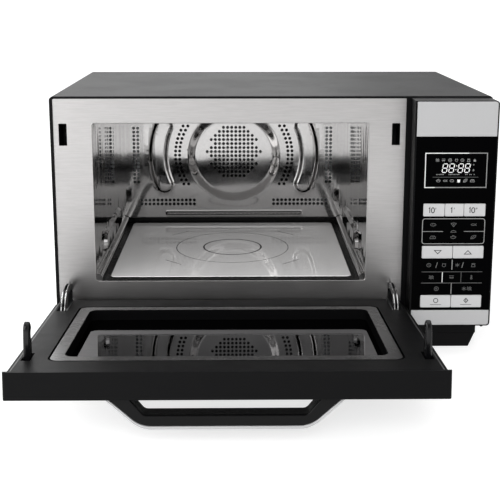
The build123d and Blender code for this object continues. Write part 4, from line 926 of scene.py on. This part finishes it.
def tube(work, points, radius, sides=8):
    # a closed round bead through points that lie in one upright plane
    rings = []
    out = Vector((0, -1, 0))
    for index, point in enumerate(points):
        run = (points[(index + 1) % len(points)] - points[index - 1]).normalized()
        across = run.cross(out).normalized()
        rings.append([work.verts.new(point + (out * math.cos(turn * math.tau / sides)
                                              + across * math.sin(turn * math.tau / sides)) * radius)
                      for turn in range(sides)])
    joinRings(work, rings + rings[:1], sides)
    for face in work.faces:
        face.smooth = True


printFace = {"panel": -30.0, "keys": -30.8, "tray": 84.8}       # y of the first two, and z of the tray


def onPanel(u, v, lift):
    return at(u, printFace["panel"] - lift, v)


def onKey(u, v, lift):
    return at(u, printFace["keys"] - lift, v)


def onTray(u, v, lift):
    return at(u, v, printFace["tray"] + lift)


def inkPiece(name, work, material, body):
    piece = addPiece(name, closeMesh(work, name), material)
    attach(piece, body)
    return piece


# the bright white is print, and also the painted highlight on the left part of the display rim; the pale grey is
# painted shade on the rest of that rim
inkLook = {"brightWhite": (0.80, 0.80, 0.80), "rimShadeGrey": (0.25, 0.25, 0.25), "softGrey": (0.27, 0.27, 0.27),
           "dimGrey": (0.11, 0.11, 0.11), "glassInk": (0.0035, 0.0035, 0.0037),
           "darkInk": (0.01, 0.01, 0.011), "trayInk": (0.02, 0.02, 0.021)}
inks = {name: finish(name, colour, tone=0.08, grain=2500.0, bump=0.02, specular=0.3)
        for name, colour in inkLook.items()}

# Icons in a square from -1 to 1: open lines, closed lines and filled plates
icons = {
    "waves": [("line", [(-1 + step / 6, level + 0.22 * math.sin(step * 0.9)) for step in range(13)])
              for level in (-0.6, 0, 0.6)],
    "grill": [("line", [(-1, 0.75), (1, 0.75)]),
              ("line", [(-0.9 + step * 0.3, -0.5 if step % 2 else 0.1) for step in range(7)])],
    "fan": [("loop", arc(0, 0, 0.95)), ("line", [(-0.5, 0), (0.5, 0)]), ("line", [(0, -0.5), (0, 0.5)])],
    "clock": [("loop", arc(0, 0, 0.9)), ("line", [(0, 0.55), (0, 0), (0.4, -0.2)])],
    "alarm": [("loop", arc(0, -0.1, 0.75)), ("line", [(-0.9, 0.5), (-0.5, 0.9)]),
              ("line", [(0.9, 0.5), (0.5, 0.9)])],
    "frost": [("line", [(-0.85, -0.5), (0.85, 0.5)]), ("line", [(-0.85, 0.5), (0.85, -0.5)]),
              ("line", [(0, -1), (0, 1)])],
    "scales": [("loop", [(-0.8, -0.9), (0.8, -0.9), (0.55, 0.3), (-0.55, 0.3)]),
               ("line", [(-0.8, 0.7), (0.8, 0.7)])],
    "lock": [("fill", [(-0.7, -0.9), (0.7, -0.9), (0.7, 0.1), (-0.7, 0.1)]),
             ("line", arc(0, 0.1, 0.45, 0, 180, 10))],
    "drop": [("loop", [(0, 0.95), (0.55, 0.05), (0.5, -0.5), (0, -0.85), (-0.5, -0.5), (-0.55, 0.05)])],
    "cup": [("fill", [(-0.75, 0.8), (-0.55, -0.9), (0.55, -0.9), (0.75, 0.8), (0.3, 0.55), (-0.3, 0.55)])],
    "fish": [("loop", arc(-0.2, 0, 0.75, squash=0.5)), ("line", [(1, 0.5), (0.5, 0), (1, -0.5)])],
    "bowl": [("loop", arc(0, 0.25, 0.95, 180, 360, 12, 0.9)), ("line", arc(0, 0.3, 0.5, 20, 160, 8))],
    "slice": [("loop", [(-0.95, 0.55), (0, 0.85), (0.95, 0.55), (0, -0.95)]),
              ("line", arc(0, 0.1, 0.18, 0, 300, 8))],
    "potato": [("loop", arc(0, 0, 0.95, squash=0.62)), ("line", [(-0.3, 0.1), (-0.1, 0.2)]),
               ("line", [(0.25, -0.2), (0.45, -0.1)])],
    "loaf": [("loop", [(-0.95, -0.6), (0.95, -0.6), (0.95, 0.1), (0.6, 0.55), (-0.6, 0.55), (-0.95, 0.1)]),
             ("line", [(-0.3, -0.1), (0, 0.25)]), ("line", [(0.2, -0.1), (0.5, 0.25)])],
    "leaf": [("loop", [(-0.9, -0.7), (-0.6, 0.4), (0.2, 0.85), (0.95, 0.8), (0.8, 0), (0.1, -0.65)]),
             ("line", [(-0.6, -0.5), (0.4, 0.4)])],
    "cloche": [("line", arc(0, -0.4, 0.85, 0, 180, 12)), ("line", [(-1, -0.5), (1, -0.5)]),
               ("line", [(0, 0.45), (0, 0.75)])],
    "thermometer": [("loop", arc(0, -0.6, 0.35)),
                    ("line", [(-0.2, -0.2), (-0.2, 0.9), (0.2, 0.9), (0.2, -0.2)])],
    "ring": [("loop", arc(0, 0, 0.85, steps=24))],
    "start": [("loop", [(-0.8, 0), (0, 0.9), (0.8, 0), (0, -0.9)]), ("line", [(0, -0.45), (0, 0.45)])],
}


def icon(work, place, name, u, v, size, width, wide=1.0):
    for kind, points in icons[name]:
        placed = [(u + point[0] * size * wide, v + point[1] * size) for point in points]
        if kind == "fill":
            plate(work, place, placed)
        else:
            strip(work, place, placed, width, kind == "loop")


# Control panel: display, printed fields and the lines between them

panelPrint = {
    "inks": {"bright": "brightWhite", "soft": "softGrey", "dim": "dimGrey"},
    "digits": (197.0, 204.6, 214.9, 222.6), "digitBase": 221.9, "digitTall": 10.0, "digitWide": 5.2,
    "digitLine": 1.0, "barGap": 0.62, "lean": 0.16, "colon": 208.6, "colonHeights": (224.6, 229.0),
    # ink, size, line width, how wide for its height, and each icon with its place
    "symbols": [
        ("soft", 1.9, 0.42, 1.0, (("waves", 188.1, 236.1), ("grill", 195.0, 236.1), ("fan", 202.5, 236.1),
                                  ("alarm", 209.8, 236.1), ("clock", 216.5, 236.1), ("scales", 223.7, 236.1),
                                  ("lock", 230.6, 236.1))),
        ("soft", 2.3, 0.45, 1.0, (("bowl", 189.9, 212.2), ("fish", 197.8, 212.2), ("potato", 205.4, 212.2),
                                  ("leaf", 220.7, 212.2), ("loaf", 228.9, 212.2))),
        ("bright", 2.3, 0.45, 1.0, (("cup", 213.3, 212.2),)),
        ("soft", 0.7, 0.35, 1.0, (("ring", 229.6, 230.8),)),
        ("soft", 1.2, 0.4, 1.0, (("drop", 229.6, 224.4),)),
        ("dim", 2.2, 0.45, 1.5, (("cloche", 209.6, 152.6),)),
        ("dim", 2.6, 0.5, 1.25, (("potato", 185.9, 160.5), ("slice", 209.6, 160.5), ("fish", 232.8, 160.5),
                                 ("loaf", 185.9, 145.6), ("bowl", 209.6, 145.6), ("leaf", 232.8, 145.6))),
        ("dim", 2.4, 0.5, 1.1, (("clock", 182.6, 112.2), ("alarm", 200.2, 112.2), ("frost", 215.8, 112.2),
                                ("scales", 234.4, 112.2), ("waves", 185.9, 97.4), ("grill", 209.6, 97.4),
                                ("thermometer", 232.8, 97.4), ("fan", 192.3, 83.6), ("frost", 224.6, 83.6),
                                ("waves", 230.8, 83.6))),
    ],
    "dashes": (187.3, 188.8, 190.3, 191.8, 193.3, 194.8, 201.4, 203.0, 204.6, 206.2, 207.8, 209.4, 211.0,
               212.6, 220.4, 222.0, 225.2, 226.8, 230.2),
    "dashHeight": 219.5, "dashSize": 0.95,
    # outlined box of six fields: left, low, right, top and corner
    "box": (173.6, 137.8, 245.4, 167.6, 3.0), "boxLine": 0.8,
    # ink, line width, and the two ends of each line
    "lines": [
        ("dim", 0.4, (183.2, 216.4), (235.5, 216.4)),
        ("soft", 0.6, (174.0, 152.5), (197.6, 152.5)), ("soft", 0.6, (221.5, 152.5), (245.0, 152.5)),
        ("dim", 0.5, (174.3, 104.0), (245.3, 104.0)), ("dim", 0.6, (174.3, 90.5), (245.3, 90.5)),
        ("soft", 0.9, (209.6, 118.6), (209.6, 106.6)), ("bright", 0.8, (198.7, 103.6), (198.7, 91.3)),
        ("dim", 0.5, (220.6, 103.6), (220.6, 91.3)), ("soft", 0.8, (209.6, 90.2), (209.6, 77.4)),
        ("soft", 0.5, (190.7, 108.9), (192.5, 115.5)), ("soft", 0.5, (221.0, 108.9), (222.8, 115.5)),
    ],
    # line round the display, with a painted highlight at the left and painted shade at the right, where light falls
    # off a chrome rim: its ink and how far out
    "rims": {"display_rim_highlight": ("brightWhite", 174.6), "display_rim_shade": ("rimShadeGrey", 244.8)},
    "rimTop": (224.0, 244.2), "rimFoot": (186.0, 204.4), "rimLine": 0.95, "rimHigh": 0.1,
}


def sevenSegments(work, look, x):
    tall, wide, lean, width = look["digitTall"], look["digitWide"], look["lean"], look["digitLine"]
    half = tall / 2
    gap = width * look["barGap"]
    for start, end in (((0, 0), (1, 0)), ((0, half), (1, half)), ((0, tall), (1, tall)), ((0, 0), (0, half)),
                       ((1, 0), (1, half)), ((0, half), (0, tall)), ((1, half), (1, tall))):
        flatBar = start[1] == end[1]
        points = []
        for spot, sign in ((start, 1), (end, -1)):
            u = spot[0] * wide + (sign * gap if flatBar else 0)
            v = spot[1] + (0 if flatBar else sign * gap)
            points.append((x - lean * half - wide / 2 + u + v * lean, look["digitBase"] + v))
        strip(work, onPanel, points, width)


def makePanelPrint(look):
    work = {ink: bmesh.new() for ink in look["inks"]}
    for x in look["digits"]:
        sevenSegments(work["bright"], look, x)
    for z in look["colonHeights"]:
        x = look["colon"] + (z - look["digitBase"]) * look["lean"]
        plate(work["bright"], onPanel, [(x + u, z + v) for u, v in ((0, 0), (1, 0), (1, 1), (0, 1))])
    for ink, size, width, wide, symbols in look["symbols"]:
        for name, x, z in symbols:
            icon(work[ink], onPanel, name, x, z, size, width, wide)
    dash = look["dashSize"]
    for x in look["dashes"]:
        strip(work["soft"], onPanel, [(x, look["dashHeight"]), (x + dash, look["dashHeight"])], dash)
    strip(work["soft"], onPanel, roundedLoop(*look["box"]), look["boxLine"], True)
    for ink, width, start, end in look["lines"]:
        strip(work[ink], onPanel, [start, end], width)
    for ink, paint in look["inks"].items():
        inkPiece("panel_print_" + ink, work[ink], inks[paint], "root")
    top, foot = look["rimTop"], look["rimFoot"]
    # the left part of the rim is a painted highlight and the rest is painted shade
    for name, (paint, x) in look["rims"].items():
        rim = bmesh.new()
        strip(rim, onPanel, [top, (x, top[1]), (x, foot[1]), foot], look["rimLine"], high=look["rimHigh"])
        inkPiece(name, rim, inks[paint], "root")


# Print of the keys: numerals with their minute or second marks, arrows and symbols

keyPrint = {
    "numerals": {"key_ten_minutes": (183.2, "10", 1), "key_one_minute": (206.6, "1", 1),
                 "key_ten_seconds": (229.6, "10", 2)},
    "level": 177.8, "tall": 6.2, "line": 1.0, "flag": (1.1, 0.3), "tenShift": 2.0,
    # zero: how far aside, half its width as a share of the numerals' height, its stretch upwards and steps
    "zero": (1.6, 0.28, 1.72, 24), "markFrom": {"1": 2.4, "10": 4.6}, "markStep": 1.1,
    "mark": (0.4, 1.0, 3.0), "markLine": 0.6,
    "arrows": {"key_down": [(188.3, 130.1), (196.1, 130.1), (192.2, 126.0)],
               "key_up": [(223.2, 125.6), (231.2, 125.6), (227.2, 129.8)]}, "arrowLine": 0.8,
    "symbols": {"key_stop": ("ring", 192.0), "key_start": ("start", 227.3)}, "symbolHeight": 69.4,
    "symbolSize": 3.0, "symbolLine": 0.8,
    "underline": (6.5, 64.4, 0.5),       # half its length, its height and its width
}


def printNumeral(work, look, x, text, marks):
    # a one with its flag, a zero beside it for ten, and one mark for minutes or two for seconds
    z, tall, line = look["level"], look["tall"], look["line"]
    flagOut, flagUp = look["flag"]
    start = x - (look["tenShift"] if text == "10" else 0.0)
    strip(work, onKey, [(start - flagOut, z + tall * flagUp), (start, z + tall / 2), (start, z - tall / 2)],
          line)
    if text == "10":
        aside, wide, squash, steps = look["zero"]
        strip(work, onKey, arc(x + aside, z, tall * wide, steps=steps, squash=squash), line, True)
    lean, low, high = look["mark"]
    for mark in range(marks):
        foot = x + look["markFrom"][text] + mark * look["markStep"]
        strip(work, onKey, [(foot, z + low), (foot + lean, z + high)], look["markLine"])


def makeKeyPrint(look):
    work = {name: bmesh.new() for name in keyNames}
    for name, numeral in look["numerals"].items():
        printNumeral(work[name], look, *numeral)
    for name, corners in look["arrows"].items():
        strip(work[name], onKey, corners, look["arrowLine"], True)
    half, level, width = look["underline"]
    for name, (symbol, x) in look["symbols"].items():
        icon(work[name], onKey, symbol, x, look["symbolHeight"], look["symbolSize"], look["symbolLine"])
        strip(work[name], onKey, [(x - half, level), (x + half, level)], width)
    for name in keyNames:
        inkPiece("print_" + name, work[name], inks["darkInk"], name)


makePanelPrint(panelPrint)
makeKeyPrint(keyPrint)

# Rolled edge of sheet round the opening of the cavity: left, low, right, top and corner
openingEdge = {"loop": (-208.7, 84.3, 113.3, 275.1, 3.0), "steps": 5, "front": 0.2, "radius": 0.6}


def makeOpeningEdge(look):
    work = bmesh.new()
    tube(work, [at(x, look["front"], z) for x, z in roundedLoop(*look["loop"], look["steps"])],
         look["radius"] / 1000)
    inkPiece("opening_edge", work, paints["edgeSteel"], "root")


makeOpeningEdge(openingEdge)

# Lip of the casing over the left and top edges of the front frame, wide at the left and narrow at the top
casingLip = {"left": -256.4, "right": 166.0, "bottom": 39.0, "top": 305.2, "wideLeft": 3.8, "wideTop": 1.9,
             "thick": 0.7, "corner": 3.5, "innerCorner": 1.5}


def makeCasingLip(look):
    left, right, top, bottom = look["left"], look["right"], look["top"], look["bottom"]
    corner, inCorner = look["corner"], look["innerCorner"]
    inLeft, inTop = left + look["wideLeft"], top - look["wideTop"]
    outline = [(left, bottom), *arc(left + corner, top - corner, corner, 180, 90, 6), (right, top),
               (right, inTop), *arc(inLeft + inCorner, inTop - inCorner, inCorner, 90, 180, 4),
               (inLeft, bottom)]
    work = bmesh.new()
    plate(work, lambda u, v, lift: at(u, -lift, v), outline, high=look["thick"])
    inkPiece("casing_lip", work, paints["blackMouldingAndShade"], "root")


makeCasingLip(casingLip)

# Polished bead along the foot of each side wall of the cavity, on the seal, drawn out from the wall and up
footBead = {"walls": {"left": (-208.6, 1), "right": (113.2, -1)}, "front": 1.4, "back": 290.6,
            "outline": [(0.0, 84.4), (6.2, 84.4), (7.2, 85.4), (7.7, 86.8), (7.6, 88.4), (6.9, 90.2),
                        (5.7, 91.7), (4.3, 92.6), (2.9, 93.0), (1.6, 93.3), (0.6, 94.1), (0.0, 95.6)],
            "sharpDegrees": 50}


def makeFootBeads(look):
    for side, (wall, inwards) in look["walls"].items():
        work = bmesh.new()
        plate(work, lambda out, up, lift: at(wall + inwards * out, lift, up), look["outline"], look["front"],
              look["back"])
        piece = inkPiece("foot_bead_" + side, work, paints["footSteel"], "root")
        smooth(piece.data, look["sharpDegrees"])


makeFootBeads(footBead)

# Ceramic plate: two printed rings and a dash at each corner of the middle
trayPrint = {"middle": (-47.0, 151.0), "rings": ((75.0, 1.0, 96), (38.5, 2.1, 72)), "dash": 30.0,
             "dashLine": 1.0, "dashOut": (74.7, 72.5), "high": 0.04}


def makeTrayPrint(look):
    work = bmesh.new()
    x, y = look["middle"]
    for radius, width, steps in look["rings"]:
        strip(work, onTray, arc(x, y, radius, steps=steps), width, True, look["high"])
    half = look["dash"] / 2 * math.sqrt(0.5)
    for sideX in (-1, 1):
        for sideY in (-1, 1):
            u, v = x + sideX * look["dashOut"][0], y + sideY * look["dashOut"][1]
            ends = [(u - sideX * half, v + sideY * half), (u + sideX * half, v - sideY * half)]
            strip(work, onTray, ends, look["dashLine"], high=look["high"])
    inkPiece("tray_print", work, inks["trayInk"], "root")


makeTrayPrint(trayPrint)
print("panel, keys and plate are printed")

# Door front, drawn closed: the perforated screen in the steel frame, and the print on the back of the glass
doorFront = {"middle": (-49.75, 172.0), "screenSize": (286.0, 142.0), "screenPitch": 3.2, "screenHole": 1.1,
             "screenSides": 6, "punchDeep": 3.0, "screenY": -18.5, "glass": (-242.3, 50.4, 145.3, 262.0),
             "glassRim": 0.6, "glassCorner": 2.5, "sight": (296.0, 152.0), "sightCorner": 9.0,
             "printBack": (-25.98, -25.92)}


def makeDoorScreen(look):
    mesh = weldedCopy("door_steel_frame")
    work = bmesh.new()
    work.from_mesh(mesh)
    centre = work.verts.layers.bool.new("holeCentre")
    middleX, middleZ = look["middle"]
    pitch = look["screenPitch"]
    rise = pitch * math.sqrt(0.75)
    columns, rows = int(look["screenSize"][0] / pitch), int(look["screenSize"][1] / rise)
    for row in range(rows + 1):
        for column in range(columns + 1 - row % 2):
            x = middleX + (column + 0.5 * (row % 2) - columns / 2) * pitch
            work.verts.new(onDoor(x, look["screenY"], middleZ + (row - rows / 2) * rise))[centre] = True
    work.to_mesh(mesh)
    work.free()
    grow("door_screen", "door_steel_frame", mesh, puncher,
         {"Hole Radius": look["screenHole"] / 1000, "Sides": look["screenSides"],
          "Depth": look["punchDeep"] / 1000, "Axis": inward},
         paints["screenBlack"], edgeShape["sharpDegrees"])


def makeGlassPrint(look):
    left, low, right, top = look["glass"]
    x, z = look["middle"]
    wide, tall = look["sight"]
    rim = look["glassRim"]
    outer = roundedLoop(left + rim, low + rim, right - rim, top - rim, look["glassCorner"])
    inner = roundedLoop(x - wide / 2, z - tall / 2, x + wide / 2, z + tall / 2, look["sightCorner"])
    near, far = look["printBack"]
    work = bmesh.new()
    rings = [[work.verts.new(onDoor(u, y, v)) for u, v in loop]
             for loop, y in ((outer, near), (inner, near), (inner, far), (outer, far))]
    joinRings(work, rings + rings[:1], len(outer))
    inkPiece("glass_print", work, inks["glassInk"], "door")


makeDoorScreen(doorFront)
makeGlassPrint(doorFront)
print("door screen is perforated and the glass is printed")
